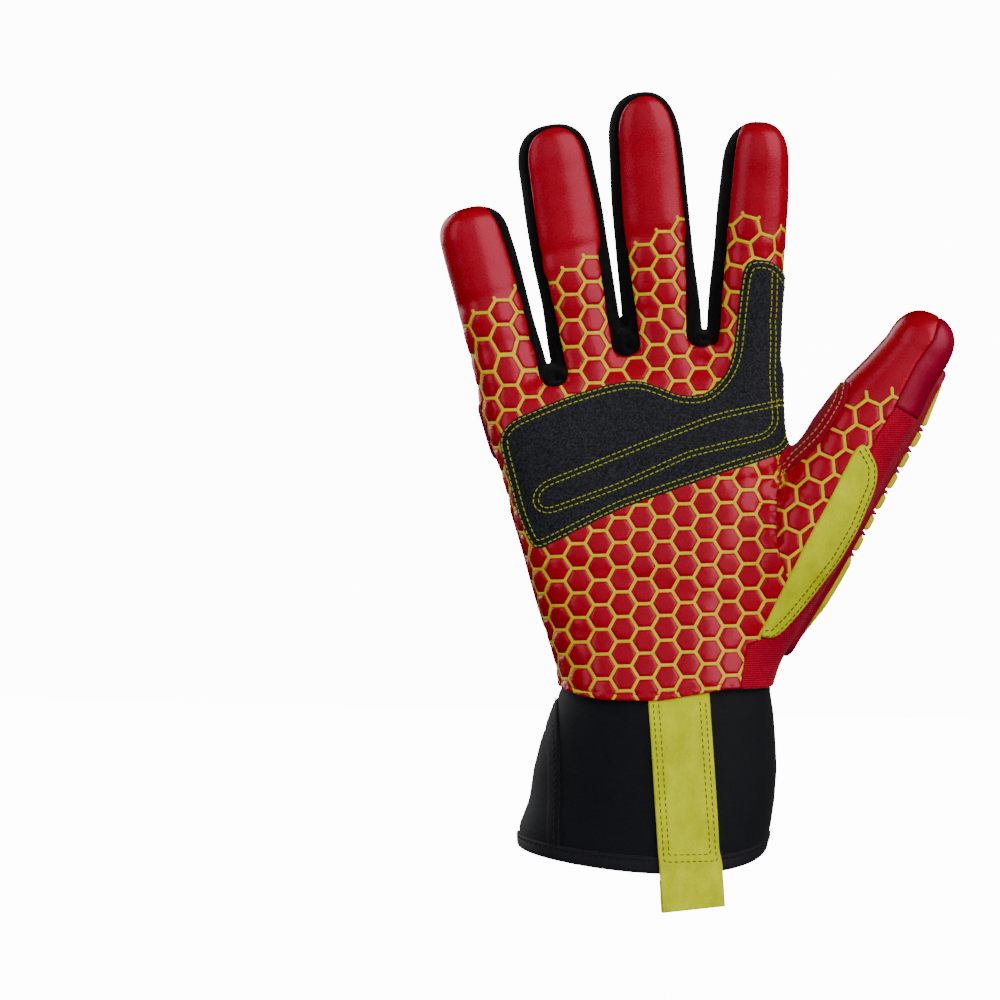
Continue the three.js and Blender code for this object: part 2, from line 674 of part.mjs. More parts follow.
function tabOnCuff(up, lift) {
  const row = between(cuffRows, 'up', up);
  const centre = TAB_X + (cuffZ(SHOULDER) - cuffZ(up)) * tabLean;
  const inner = [];
  const outer = [];
  for (let station = 0; station < TAB_STATIONS; station++) {
    const x = centre + (station / (TAB_STATIONS - 1) - 0.5) * TAB_WIDTH;
    const { point, out } = cuffFront(row, x);
    inner.push(point.clone().addScaledVector(out, lift));
    outer.push(point.clone().addScaledVector(out, lift + TAB_THICKNESS));
  }
  return tabRing(inner, outer);
}

// The free end lies in the plane across the tab's two edges at the mouth
const tabMiddle = TAB_X + (cuffZ(SHOULDER) - cuffZ(MOUTH)) * tabLean;
const tabEdges = [-0.5, 0.5].map((side) => cuffFront(mouth, tabMiddle + side * TAB_WIDTH).point.setZ(0));
const tabAcross = tabEdges[1].clone().sub(tabEdges[0]).normalize();
const tabOut = new THREE.Vector3(0, 0, 1).cross(tabAcross).negate();
const tabBow = cuffFront(mouth, tabMiddle).point.setZ(0).sub(tabEdges[0]).dot(tabOut);
function tabFree(z, lift, thickness) {
  const middle = tabEdges[0].clone().add(tabEdges[1]).multiplyScalar(0.5);
  const inner = [];
  const outer = [];
  for (let station = 0; station < TAB_STATIONS; station++) {
    const side = (station / (TAB_STATIONS - 1) - 0.5) * TAB_WIDTH + (cuffZ(MOUTH) - z) * tabLean;
    const point = middle.clone().addScaledVector(tabAcross, side).setZ(z);
    inner.push(point.clone().addScaledVector(tabOut, lift));
    outer.push(point.clone().addScaledVector(tabOut, lift + thickness));
  }
  return tabRing(inner, outer);
}

const aboveBinding = (rise) => bindingTop + rise / CUFF_LENGTH;
const overBinding = 3 * GAP + BINDING;
const overCuff = 2 * GAP;
const bindingFoot = cuffZ(bindingLow) + between(cuffRows, 'up', bindingLow).front - GAP;
const freeLift = overBinding + tabBow;
const pullTab = loft([
  tabFree(-TAB_BELOW, freeLift - TAB_THICKNESS, 2 * TAB_THICKNESS),
  tabFree(bindingFoot - 2 * TAB_THICKNESS, freeLift - TAB_THICKNESS, 2 * TAB_THICKNESS),
  tabFree(bindingFoot, freeLift, TAB_THICKNESS),
  tabOnCuff(MOUTH + TAB_STEP / CUFF_LENGTH, overBinding),
  tabOnCuff(aboveBinding(TAB_STEP), overBinding),
  tabOnCuff(aboveBinding(TAB_RAMP), overCuff),
  ...cuffRows.slice(2).map((row) => tabOnCuff(row.up, overCuff)),
]);

// Finishes

const finish = (color, roughness, metalness = 0) =>
  new THREE.MeshStandardMaterial({ color, roughness, metalness });
const redLeather = finish(0xb8101c, 0.3);
const redKnit = finish(0xd0121c, 0.9);
const crimsonRubber = finish(0xa01830, 0.55);
const yellowRubber = finish(0xe0d018, 0.5);
const blackKnit = finish(0x15151a, 0.9);
const blackLeather = finish(0x26282e, 0.7);
const yellowSuede = finish(0xdcd730, 0.95);
const redSuede = finish(0xb0141e, 0.95);
const blackNeoprene = finish(0x121218, 0.85);
const silverTape = finish(0xb9bec3, 0.35, 0.3);

// The natural pose bends every piece the same way, towards the palm

function posed(solidBody) {
  const mesh = solidBody.getMesh();
  const count = mesh.numProp;
  const points = [];
  for (let i = 0; i < mesh.vertProperties.length; i += count) {
    const [x, y, z] = mesh.vertProperties.slice(i, i + 3);
    const up = (z - CUFF_LENGTH) / PALM_LENGTH;
    const side = (x - palmX(palmMiddle.atHem + palmMiddle.lean * up)) / (PALM_WIDTH / 2);
    const arched = THREE.MathUtils.smoothstep(up, ARCH_START, ARCH_FULL);
    const arch = ARCH * arched * side ** 2 / (1 + side ** 2 / 4);
    const curl = CURL * (Math.max(0, z - palmZ(CURL_START)) / CURL_REACH) ** 2;
    points.push(new THREE.Vector3(x, y - arch - curl, z));
  }
  const geometry = new THREE.BufferGeometry().setFromPoints(points);
  geometry.setIndex([...mesh.triVerts]);
  geometry.computeVertexNormals();
  return geometry;
}

const glove = new THREE.Group();
function addPiece(name, body, material) {
  const piece = new THREE.Mesh(posed(body), material);
  piece.name = name;
  glove.add(piece);
}

addPiece('palm_panel', palmPanel, redLeather);
addPiece('back_panel', backPanel, redKnit);
for (const [first, second] of pairs) {
  addPiece(`fourchette_${first.name}_${second.name}`, fourchette([first, second]), blackKnit);
}
for (const digit of [...digits, thumb]) {
  addPiece(`tip_cap_${digit.name}`, tipCap(digit), redLeather);
  addPiece(`guard_${digit.name}`, digitGuard(digit), crimsonRubber);
  addPiece(`blocks_${digit.name}`, digitBlocks(digit), yellowRubber);
}
addPiece('palm_patch', palmPatchSolid, blackLeather);
addPiece('thumb_patch', thumbPatchSolid, yellowSuede);
addPiece('web_patch', webPatchSolid, redSuede);

addPiece('hand_guard', handGuard, crimsonRubber);
for (const { name, outline } of guardPads) addPiece(name, guardPad(outline), yellowRubber);
guardBars.forEach((bar, i) => addPiece(`bar_${i + 1}`, guardPad(barOutline(bar)), yellowRubber));
sideBlocks.forEach((block, i) => {
  addPiece(`side_block_${i + 1}`, guardPad(sideOutline(block)), yellowRubber);
});
addPiece('knuckle_guard', knuckleGuard, crimsonRubber);
for (let i = 0; i < KNUCKLE_BARS; i++) addPiece(`knuckle_bar_${i + 1}`, knuckleBar(i), yellowRubber);

addPiece('cuff', cuff, blackNeoprene);
addPiece('cuff_binding', binding, blackNeoprene);
addPiece('reflective_band', reflectiveBand, silverTape);
addPiece('cuff_label', cuffLabel, blackKnit);
addPiece('label_patch', labelPatch, silverTape);
addPiece('pull_tab', pullTab, yellowSuede);

export default glove;
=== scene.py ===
# A cut-resistant work glove for the right hand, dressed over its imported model.
# The shapes are worked out in millimetres, in the flat pose of the part's source, then bent to the
# natural pose and scaled to metres. +Z runs to the fingertips, the palm faces -Y, the thumb is at +X.

import math

import bpy
import numpy as np
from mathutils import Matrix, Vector


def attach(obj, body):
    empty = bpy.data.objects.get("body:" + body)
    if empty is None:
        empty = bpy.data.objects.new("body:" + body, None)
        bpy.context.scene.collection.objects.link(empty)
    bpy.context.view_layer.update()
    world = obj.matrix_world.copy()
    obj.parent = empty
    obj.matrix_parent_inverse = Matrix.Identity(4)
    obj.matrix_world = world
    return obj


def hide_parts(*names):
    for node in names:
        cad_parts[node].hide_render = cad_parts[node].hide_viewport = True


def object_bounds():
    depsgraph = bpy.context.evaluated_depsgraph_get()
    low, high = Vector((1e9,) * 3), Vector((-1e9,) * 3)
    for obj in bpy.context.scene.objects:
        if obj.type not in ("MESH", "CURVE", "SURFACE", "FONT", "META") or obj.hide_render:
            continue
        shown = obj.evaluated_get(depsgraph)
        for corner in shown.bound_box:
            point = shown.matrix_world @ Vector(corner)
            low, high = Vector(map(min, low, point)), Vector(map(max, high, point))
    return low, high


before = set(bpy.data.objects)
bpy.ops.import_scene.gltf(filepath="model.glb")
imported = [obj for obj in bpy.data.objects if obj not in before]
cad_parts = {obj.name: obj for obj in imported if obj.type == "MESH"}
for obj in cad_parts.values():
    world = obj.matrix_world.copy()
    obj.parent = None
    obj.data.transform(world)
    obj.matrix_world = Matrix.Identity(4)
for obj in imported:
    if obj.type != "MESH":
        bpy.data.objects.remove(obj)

cad_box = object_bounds()
MM = 0.001
GRID = 0.95


def named_rows(columns, *rows):
    """A table whose rows are found by their first value, and whose columns by name."""
    return {name: dict(zip(columns.split(), values)) for name, *values in rows}


# Sizes that the part's source has too
CUFF_LENGTH = 52
CUFF_WIDTH = 86
CUFF_DEPTH = 58
PALM_LENGTH = 114
PALM_WIDTH = 98
PALM_DEPTH = 42
MIDDLE_AT_HEM = 0.08
MIDDLE_LEAN = -0.127
CURL_START = 0.86
ARCH = 6
ARCH_FULL = 0.5
CURL = 14
CURL_REACH = 100

# up, left and right, and half the thickness, as shares of the palm's length, width and depth
PALM_ROWS = [
    (-0.12, -0.285, 0.443, 0.583),
    (0.0, -0.285, 0.443, 0.583),
    (0.096, -0.295, 0.444, 0.548),
    (0.228, -0.342, 0.454, 0.524),
    (0.404, -0.403, 0.464, 0.512),
    (0.588, -0.461, 0.48, 0.488),
    (0.711, -0.5, 0.496, 0.464),
    (0.86, -0.549, 0.483, 0.393),
    (0.947, -0.577, 0.474, 0.32),
    (1.0, -0.586, 0.466, 0.234),
]
# across and up place each root on the palm, lean is in degrees towards the thumb, cap is the share of
# the length where the fingertip's cap starts on the back. The last three are what the dressed digit
# adds at its tip: to its half width, to the side of the thumb, and to its length.
DIGITS = named_rows(
    "across up lean length width depth cap wider over longer",
    ("little", -0.449, 0.947, -14.8, 61.5, 24.6, 21.5, 0.74, 0.3, -0.2, 0.0),
    ("ring", -0.182, 0.991, -10.5, 83.7, 25.8, 22.5, 0.77, 0.85, 0.85, 0.0),
    ("middle", 0.083, 0.991, -6.2, 93.6, 27.4, 23, 0.79, -0.7, 0.7, 0.0),
    ("index", 0.34, 0.974, 3.5, 85, 25, 22.5, 0.77, -0.6, 0.5, 0.1),
    ("thumb", 0.316, 0.096, 28.9, 137, 34, 30, 0.75, 0.0, 0.3, 0.8),
)
FINGERS = ["little", "ring", "middle", "index"]
# along, half width, half depth, how far forward and how far to the thumb's side, as shares of the
# digit's own sizes
FINGER_ROWS = [
    (-0.32, 0.8, 0.7, 0.0, 0.0),
    (0.0, 1.0, 1.0, 0.0, 0.0),
    (0.12, 0.985, 0.98, 0.0, 0.0),
    (0.25, 0.975, 0.97, 0.0, 0.0),
    (0.42, 0.99, 0.98, 0.0, 0.0),
    (0.62, 0.97, 0.94, 0.0, 0.0),
    (0.8, 0.93, 0.91, 0.0, 0.0),
]
THUMB_ROWS = [
    (0.0, 0.74, 0.7, 0.04, 0.0),
    (0.13, 0.87, 0.96, 0.12, -0.02),
    (0.3, 0.93, 1.04, 0.16, -0.035),
    (0.39, 0.93, 1.02, 0.165, -0.04),
    (0.475, 0.92, 0.98, 0.16, -0.04),
    (0.635, 0.9, 0.88, 0.12, -0.035),
    (0.74, 0.84, 0.8, 0.1, -0.01),
    (0.83, 0.71, 0.74, 0.08, 0.03),
    (0.9, 0.66, 0.68, 0.07, 0.065),
]
# How much shorter the plain hand is, so that the cloth on it ends where the glove does
TIP_TRIM = 1.0


def palm_x(across):
    return np.asarray(across) * PALM_WIDTH


def palm_z(up):
    return CUFF_LENGTH + np.asarray(up) * PALM_LENGTH


def on_palm(shares):
    return [(float(palm_x(across)), float(palm_z(up))) for across, up in shares]


def smoothstep(value, low, high):
    share = np.clip((value - low) / (high - low), 0.0, 1.0)
    return share * share * (3 - 2 * share)


def unit(vectors):
    length = np.linalg.norm(vectors, axis=-1, keepdims=True)
    return vectors / np.maximum(length, 1e-9)


def upright(flat):
    """Flat (x, z) places as points in the middle of the hand."""
    return np.column_stack([flat[:, 0], 0 * flat[:, 0], flat[:, 1]])


def posed(points):
    """The natural pose: the back is arched from side to side and the fingers curl to the palm."""
    x, y, z = points.T
    up = (z - CUFF_LENGTH) / PALM_LENGTH
    side = (x - palm_x(MIDDLE_AT_HEM + MIDDLE_LEAN * up)) / (PALM_WIDTH / 2)
    arch = ARCH * smoothstep(up, 0.0, ARCH_FULL) * side**2 / (1 + side**2 / 4)
    curl = CURL * (np.maximum(0, z - palm_z(CURL_START)) / CURL_REACH) ** 2
    return np.column_stack([x, y - arch - curl, z])


def blurred(values, reach):
    """Evenly spaced values, each mixed with its neighbours."""
    wide = np.pad(values, reach, mode="reflect", reflect_type="odd")
    kernel = np.hanning(2 * reach + 3)[1:-1]
    return np.convolve(wide, kernel / kernel.sum(), mode="valid")


def path_lengths(path):
    """How far along the path each of its points is."""
    return np.concatenate([[0], np.cumsum(np.linalg.norm(np.diff(path, axis=0), axis=1))])


def at_lengths(path, lengths, at):
    return np.column_stack([np.interp(at, lengths, column) for column in path.T])


# The hand's surface, as a field that is negative inside and measures about in millimetres

TABLE_STEPS = 240
TABLE_BLUR = 9


def smooth_table(rows):
    """A table of sections as evenly spaced, slightly blurred columns."""
    rows = np.array(rows)
    at = np.linspace(rows[0, 0], rows[-1, 0], TABLE_STEPS)
    return at, [blurred(np.interp(at, rows[:, 0], column), TABLE_BLUR) for column in rows.T[1:]]


def read_table(table, at):
    return [np.interp(at, table[0], column) for column in table[1]]


FINGER_TABLE = smooth_table(FINGER_ROWS)
THUMB_TABLE = smooth_table(THUMB_ROWS)
PALM_TABLE = smooth_table(PALM_ROWS)
PALM_DOME = 5.0
# How high the palm itself reaches between the fingers, at places across it
PALM_TOP = [(-52.0, 150.0), (-31.0, 157.0), (-6.0, 168.0), (20.0, 168.0), (48.0, 160.0)]
# How square the sections are: 2 is an ellipse
SQUARENESS = 2.5
LEAST_SLOPE = 0.02


def digit_table(name):
    return THUMB_TABLE if name == "thumb" else FINGER_TABLE


def digit_frame(name):
    """The digit's root, the way it runs, and the way to its thumb side."""
    digit = DIGITS[name]
    lean = math.radians(digit["lean"])
    root = np.array([palm_x(digit["across"]), 0.0, palm_z(digit["up"])])
    along = np.array([math.sin(lean), 0.0, math.cos(lean)])
    side = np.array([math.cos(lean), 0.0, -math.sin(lean)])
    return root, along, side


def digit_coordinates(name, points):
    """How far each point is to the digit's thumb side, and along it from its root."""
    root, along, side = digit_frame(name)
    offset = points - root
    return offset @ side, offset @ along


def digit_section(name, along):
    """The digit's half width and half depth, and how far forward and over its middle is."""
    digit = DIGITS[name]
    share = along / digit["length"]
    wide, deep, forward, over = read_table(digit_table(name), share)
    tip = np.clip(share, 0, 1)
    return (wide * digit["width"] / 2 + digit["wider"] * tip, deep * digit["depth"] / 2,
            forward * digit["depth"], over * digit["width"] + digit["over"] * tip)


def field_value(radius, pulls):
    """How far a point is from a form where radius is 1, from how fast radius changes each way."""
    slope = np.sqrt(sum(pull**2 for pull in pulls)) * radius ** (1 - SQUARENESS)
    return (radius - 1) / np.maximum(slope, LEAST_SLOPE)


def digit_field(name, points):
    digit = DIGITS[name]
    side, along = digit_coordinates(name, points)
    half_width, half_depth, forward, over = digit_section(name, along)
    start, end = digit_table(name)[0][[0, -1]] * digit["length"]
    tip_length = digit["length"] + digit["longer"] - TIP_TRIM - end
    past = np.maximum(along - end, 0) / tip_length + np.maximum(start - along, 0) / half_depth
    a, b = (side - over) / half_width, (points[:, 1] + forward) / half_depth
    around = np.hypot(a, b) + 1e-6
    radius = (around**SQUARENESS + past**SQUARENESS) ** (1 / SQUARENESS)
    out = around ** (SQUARENESS - 2)
    return field_value(radius, (out * a / half_width, out * b / half_depth,
                                past ** (SQUARENESS - 1) / tip_length))


def palm_field(points):
    x, y, z = points.T
    left, right, deep = read_table(PALM_TABLE, (z - CUFF_LENGTH) / PALM_LENGTH)
    sizes = ((right - left) / 2 * PALM_WIDTH, deep * PALM_DEPTH, PALM_DOME)
    over_top = np.maximum(z - np.interp(x, *np.transpose(PALM_TOP)), 0)
    offsets = (np.abs(x - palm_x((left + right) / 2)), np.abs(y), over_top)
    shares = [offset / size for offset, size in zip(offsets, sizes)]
    radius = sum(share**SQUARENESS for share in shares) ** (1 / SQUARENESS) + 1e-9
    return field_value(radius, [share ** (SQUARENESS - 1) / size for share, size in zip(shares, sizes)])


def smooth_min(a, b, reach):
    near = np.maximum(reach - np.abs(a - b), 0) / reach
    return np.minimum(a, b) - near**2 * reach / 4


FINGER_REACH = 1.0
ROOT_REACH = 5.0
THUMB_REACH = 9.0
# The folded cloth at the foot of each gap between two fingers: the middle of its rounded lower edge,
# how wide it is, and the height where the open gap ends
CROTCHES = [
    dict(x=-30.4, z=162.2, radius=4.7, lean=-12.6, gap=165.8),
    dict(x=-5.8, z=172.4, radius=4.7, lean=-8.3, gap=178.0),
    dict(x=20.0, z=175.9, radius=4.9, lean=-1.3, gap=177.4),
]
WEB_RADIUS = 4.5
WEB_DEPTH = 9.5


def web_field(crotch, points):
    """A short roll that fills the foot of the gap, from the palm's face to the back's."""
    offset = points - np.array([crotch["x"], 0.0, crotch["gap"] - WEB_RADIUS])
    across = np.hypot(offset[:, 0], offset[:, 2]) / WEB_RADIUS
    deep = np.abs(points[:, 1]) / WEB_DEPTH
    radius = (across**3 + deep**3) ** (1 / 3) + 1e-9
    return (radius - 1) * WEB_RADIUS


def hand_field(points):
    fingers = digit_field(FINGERS[0], points)
    for name in FINGERS[1:]:
        fingers = smooth_min(fingers, digit_field(name, points), FINGER_REACH)
    for crotch in CROTCHES:
        fingers = smooth_min(fingers, web_field(crotch, points), FINGER_REACH)
    hand = smooth_min(fingers, palm_field(points), ROOT_REACH)
    return smooth_min(hand, digit_field("thumb", points), THUMB_REACH)


NORMAL_STEP = 0.4
LEAST_STEEP = 0.05


def hand_normal(points):
    slopes = []
    for axis in np.eye(3) * NORMAL_STEP:
        slopes.append(hand_field(points + axis) - hand_field(points - axis))
    return np.column_stack(slopes) / (2 * NORMAL_STEP)


def settled(points, rounds=2):
    """The points moved straight to the hand's surface."""
    for _ in range(rounds):
        slope = hand_normal(points)
        steep = np.maximum((slope**2).sum(axis=1), LEAST_STEEP)
        points = points - slope * (hand_field(points) / steep)[:, None]
    return points


def nearest_digit(names, points):
    """The number, in the names, of the digit that each point is nearest to."""
    return np.stack([digit_field(name, points) for name in names]).argmin(axis=0)


# A mesh of the surface

CORNERS = np.array([(i, j, k) for i in (0, 1) for j in (0, 1) for k in (0, 1)])
COARSE = 4
COARSE_REACH = 2.6
PARTS_AT_ONCE = 24


def corner_groups():
    """For each way that a cell's corners can be inside: which of its separate groups each is in."""
    near = np.abs(CORNERS[:, None] - CORNERS[None]).sum(axis=2) == 1
    groups = np.zeros((256, 8), int)
    for mask in range(256):
        left = [number for number in range(8) if mask >> number & 1]
        group = 0
        while left:
            reached = [left.pop(0)]
            for number in reached:
                joining = [other for other in left if near[number, other]]
                reached += joining
                left = [other for other in left if other not in joining]
            groups[mask, reached] = group
            group += 1
    return groups


def grid_values(field, axes, cell):
    """The field on a grid: exact near the surface, and only sampled further away."""
    shape = tuple(len(axis) for axis in axes)
    sparse = [axis[::COARSE] for axis in axes]
    rough = field(np.stack(np.meshgrid(*sparse, indexing="ij"), axis=-1).reshape(-1, 3))
    rough = rough.reshape([len(axis) for axis in sparse])
    for side in range(3):
        rough = np.repeat(rough, COARSE, axis=side)
    values = rough[tuple(slice(0, count) for count in shape)]
    near = np.argwhere(np.abs(values) < COARSE_REACH * COARSE * cell)
    places = np.column_stack([axis[near[:, side]] for side, axis in enumerate(axes)])
    exact = [field(part) for part in np.array_split(places, PARTS_AT_ONCE)]
    values[tuple(near.T)] = np.concatenate(exact)
    return values


def surface_net(field, low, high, cell):
    """The field's zero surface as a mesh of four-sided faces, found on a regular grid.

    A cell holds one vertex for each separate group of inside corners, so close walls stay apart.
    """
    values = grid_values(field, [np.arange(a, b + cell, cell) for a, b in zip(low, high)], cell)
    inside = values < 0
    mask = np.zeros([count - 1 for count in inside.shape], int)
    for number, at in enumerate(CORNERS):
        part = inside[tuple(slice(o, o + n) for o, n in zip(at, mask.shape))]
        mask += part.astype(int) << number
    cells = np.argwhere((mask > 0) & (mask < 255))
    masks = mask[tuple(cells.T)]
    table = corner_groups()
    counts = table.max(axis=1)[masks] + 1
    first = np.cumsum(counts) - counts
    index = np.full(mask.shape, -1)
    index[tuple(cells.T)] = first
    total = np.zeros((counts.sum(), 3))
    weight = np.zeros(counts.sum())
    for number, start in enumerate(CORNERS):
        for axis in range(3):
            if start[axis] == 1:
                continue
            other = number + (4, 2, 1)[axis]
            a = values[tuple((cells + start).T)]
            b = values[tuple((cells + CORNERS[other]).T)]
            crosses = (a < 0) != (b < 0)
            point = np.tile(start.astype(float), (len(cells), 1))
            point[:, axis] = np.where(crosses, a / np.where(crosses, a - b, 1), 0)
            vertex = first + table[masks, np.where(a < 0, number, other)]
            np.add.at(total, vertex[crosses], (cells + point)[crosses])
            np.add.at(weight, vertex[crosses], 1)
    vertices = np.array(low) + total / weight[:, None] * cell
    faces = []
    for axis in range(3):
        one, other = (axis + 1) % 3, (axis + 2) % 3
        ahead, behind = [slice(None)] * 3, [slice(None)] * 3
        ahead[axis], behind[axis] = slice(1, None), slice(None, -1)
        change = np.argwhere(inside[tuple(behind)] != inside[tuple(ahead)])
        change = change[(change[:, one] > 0) & (change[:, other] > 0)]
        leaving = inside[tuple(behind)][tuple(change.T)]
        ring = []
        for da, db in ((0, 0), (-1, 0), (-1, -1), (0, -1)):
            at = change.copy()
            corner = np.zeros((len(at), 3), int)
            corner[:, axis] = ~leaving
            for side, step in ((one, da), (other, db)):
                at[:, side] += step
                corner[:, side] = -step
            place = tuple(at.T)
            ring.append(index[place] + table[mask[place], corner @ (4, 2, 1)])
        quads = np.stack(ring, axis=1)
        faces.append(np.where(leaving[:, None], quads, quads[:, ::-1]))
    return vertices, np.concatenate(faces)


# A point this close to a level counts as on it, in millimetres
ON_LEVEL = 0.03


def split(points, faces, level):
    """The same mesh of triangles with its edges cut where the last column crosses the level."""
    points = points.copy()
    points[np.abs(points[:, -1] - level) < ON_LEVEL, -1] = level
    span = points[:, -1] - level
    side = np.sign(span)
    crossed = (side[faces].min(axis=1) < 0) & (side[faces].max(axis=1) > 0)
    edges, added, new_faces = {}, [], []

    def between(a, b):
        key = (min(a, b), max(a, b))
        if key not in edges:
            edges[key] = len(points) + len(added)
            added.append((*key, span[key[0]] / (span[key[0]] - span[key[1]])))
        return edges[key]

    for face in faces[crossed].tolist():
        ring = []
        for a, b in zip(face, face[1:] + face[:1]):
            ring.append((a, side[a]))
            if side[a] * side[b] < 0:
                ring.append((between(a, b), 0))
        for wanted in (1, -1):
            part = [corner for corner, sign in ring if sign in (0, wanted)]
            for i in range(1, len(part) - 1):
                new_faces.append((part[0], part[i], part[i + 1]))
    if not added:
        return points, faces
    added = np.array(added)
    first, second, share = added[:, 0].astype(int), added[:, 1].astype(int), added[:, 2:]
    middles = points[first] * (1 - share) + points[second] * share
    return np.concatenate([points, middles]), np.concatenate([faces[~crossed], np.array(new_faces)])


def trimmed(points, faces):
    """Only the points that the faces use."""
    used = np.unique(faces)
    renumber = np.full(len(points), -1)
    renumber[used] = np.arange(len(used))
    return points[used], renumber[faces]


def cut_panel(points, faces, field, levels=(0.0,)):
    """The part of the mesh where the field is above zero, with edges along each level.

    Columns of points past the third are carried along, and the field's value is added as the last.
    """
    points = np.column_stack([points, field(points[:, :3])])
    points, faces = trimmed(points, faces[points[faces, -1].max(axis=1) > 0])
    for level in levels:
        points, faces = split(points, faces, level)
    return trimmed(points, faces[points[faces, -1].mean(axis=1) > 0])


# Outlines, noise and the soft swell of worn cloth

def distance_to_path(path, x, z):
    """How far each (x, z) is from a path of straight stretches."""
    best = np.full(len(x), 1e9)
    for (ax, az), (bx, bz) in zip(path, path[1:]):
        dx, dz = bx - ax, bz - az
        share = np.clip(((x - ax) * dx + (z - az) * dz) / (dx * dx + dz * dz), 0, 1)
        best = np.minimum(best, np.hypot(x - ax - share * dx, z - az - share * dz))
    return best


def inside_distance(outline, x, z):
    """How far inside a closed outline each (x, z) is, below zero outside."""
    closed = [*outline, outline[0]]
    inside = np.zeros(len(x), bool)
    for (ax, az), (bx, bz) in zip(closed, closed[1:]):
        if az == bz:
            continue
        straddles = (az > z) != (bz > z)
        inside ^= straddles & (x < ax + (z - az) / (bz - az) * (bx - ax))
    distance = distance_to_path(closed, x, z)
    return np.where(inside, distance, -distance)


# The most of an edge that a rounded corner takes
CORNER_SHARE = 0.45


def rounded(outline, radius, steps=4):
    """The outline with each corner turned into a short curve."""
    points = np.array(outline, float)
    curve = []
    for before, corner, after in zip(np.roll(points, 1, axis=0), points, np.roll(points, -1, axis=0)):
        into, out = corner - before, after - corner
        start = corner - into * min(radius / np.hypot(*into), CORNER_SHARE)
        end = corner + out * min(radius / np.hypot(*out), CORNER_SHARE)
        for t in np.linspace(0, 1, steps + 1):
            curve.append((1 - t) ** 2 * start + 2 * t * (1 - t) * corner + t**2 * end)
    return [tuple(point) for point in curve]


NOISE_SIZE = 32
noise_lattice = np.random.default_rng(7).uniform(-1, 1, (NOISE_SIZE,) * 3)


def soft_noise(points, size):
    """Smooth noise between -1 and 1 whose bumps are about the given size."""
    place = points / size
    low = np.floor(place).astype(int)
    share = smoothstep(place - low, 0, 1)
    total = np.zeros(len(points))
    for corner in CORNERS:
        at = (low + corner) % NOISE_SIZE
        weight = np.prod(np.where(corner, share, 1 - share), axis=1)
        total += weight * noise_lattice[tuple(at.T)]
    return total


# Creases in the worn hand: path in (x, z), depth and half width
PALM_FACE, BACK_FACE = -1, 1
CREASES = [
    dict(path=[(47.6, 133), (45.2, 122.4), (44.5, 113.6), (44.6, 105)], depth=1.6, width=1.5),
    dict(path=[(49, 131), (38, 126), (30, 125)], depth=0.8, width=1.8),
    dict(path=[(48, 126), (39, 117)], depth=0.7, width=1.6),
    dict(path=[(52, 124), (58, 118)], depth=0.6, width=1.8),
    dict(path=[(-24, 96), (4, 91), (26, 84)], depth=0.5, width=3.0),
    dict(path=[(-30, 76), (-6, 70)], depth=0.4, width=2.6),
]
JOINT_SHARES = (0.2, 0.47)
for name in FINGERS:
    root, along, side = digit_frame(name)
    half = side * DIGITS[name]["width"] / 2
    for share in JOINT_SHARES:
        middle = root + along * share * DIGITS[name]["length"]
        ends = (middle - half, middle + half)
        CREASES.append(dict(path=[(end[0], end[2]) for end in ends], depth=0.45, width=2.6))

# Each crotch's black cloth is folded over itself, from one place to these
CROTCH_FOLD = (0.8, -1)
CROTCH_FOLD_ENDS = [(0.4, 7), (-3, -4), (4.2, -3)]
for crotch in CROTCHES:
    for end in CROTCH_FOLD_ENDS:
        path = [(crotch["x"] + over, crotch["z"] + up) for over, up in (CROTCH_FOLD, end)]
        CREASES.append(dict(path=path, depth=0.9, width=1.2))

SWELL = 0.35
SWELL_SIZE = 17
CREASE_START = 6


def swell(points):
    """How far the worn cloth stands above the plain hand. Creases are on the palm's side."""
    x, y, z = points.T
    height = SWELL * soft_noise(points, SWELL_SIZE)
    for crease in CREASES:
        near = np.exp(-((distance_to_path(crease["path"], x, z) / crease["width"]) ** 2))
        height -= crease["depth"] * near * smoothstep(-y, 0, CREASE_START)
    return height


# Meshes

def add_piece(name, nodes, material, body, sharp=48):
    """A Blender object from points in millimetres, in the hand's flat pose, and their faces.

    material is its material, and nodes are the CAD nodes that it stands in for.
    """
    points, faces = body
    mesh = bpy.data.meshes.new(name)
    mesh.from_pydata((posed(np.asarray(points, float)) * MM).tolist(), [], [list(f) for f in faces])
    mesh.materials.append(material)
    mesh.polygons.foreach_set("use_smooth", np.ones(len(mesh.polygons), bool))
    mesh.set_sharp_from_angle(angle=math.radians(sharp))
    mesh.validate()
    piece = bpy.data.objects.new(name, mesh)
    bpy.context.scene.collection.objects.link(piece)
    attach(piece, "root")
    if nodes:
        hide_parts(*nodes)
    return piece


def grid_normals(points):
    """Outward directions of a grid of points, whose rows go up and whose columns go round."""
    rows, columns = np.gradient(points, axis=0), np.gradient(points, axis=1)
    return unit(np.cross(columns, rows))


def grid_faces(rows, columns, around=False):
    """The faces of a grid of points, outward when its columns turn as the cuff's do."""
    faces = []
    for row in range(rows - 1):
        for column in range(columns if around else columns - 1):
            ahead = (column + 1) % columns
            a, b = row * columns + column, row * columns + ahead
            faces.append((a, b, b + columns, a + columns))
    return np.array(faces)


def triangled(quads):
    return np.concatenate([quads[:, [0, 1, 2]], quads[:, [0, 2, 3]]])


def copied(faces, copies, count):
    """The faces of a small mesh of count points, for each of its copies."""
    shifts = np.arange(copies)[:, None, None] * count
    return (np.asarray(faces)[None] + shifts).reshape(-1, 3)


def joined(parts):
    """Several meshes of points and triangles as one."""
    points, faces, count = [], [], 0
    for part_points, part_faces in parts:
        points.append(part_points)
        faces.append(part_faces + count)
        count += len(part_points)
    return np.concatenate(points), np.concatenate(faces)


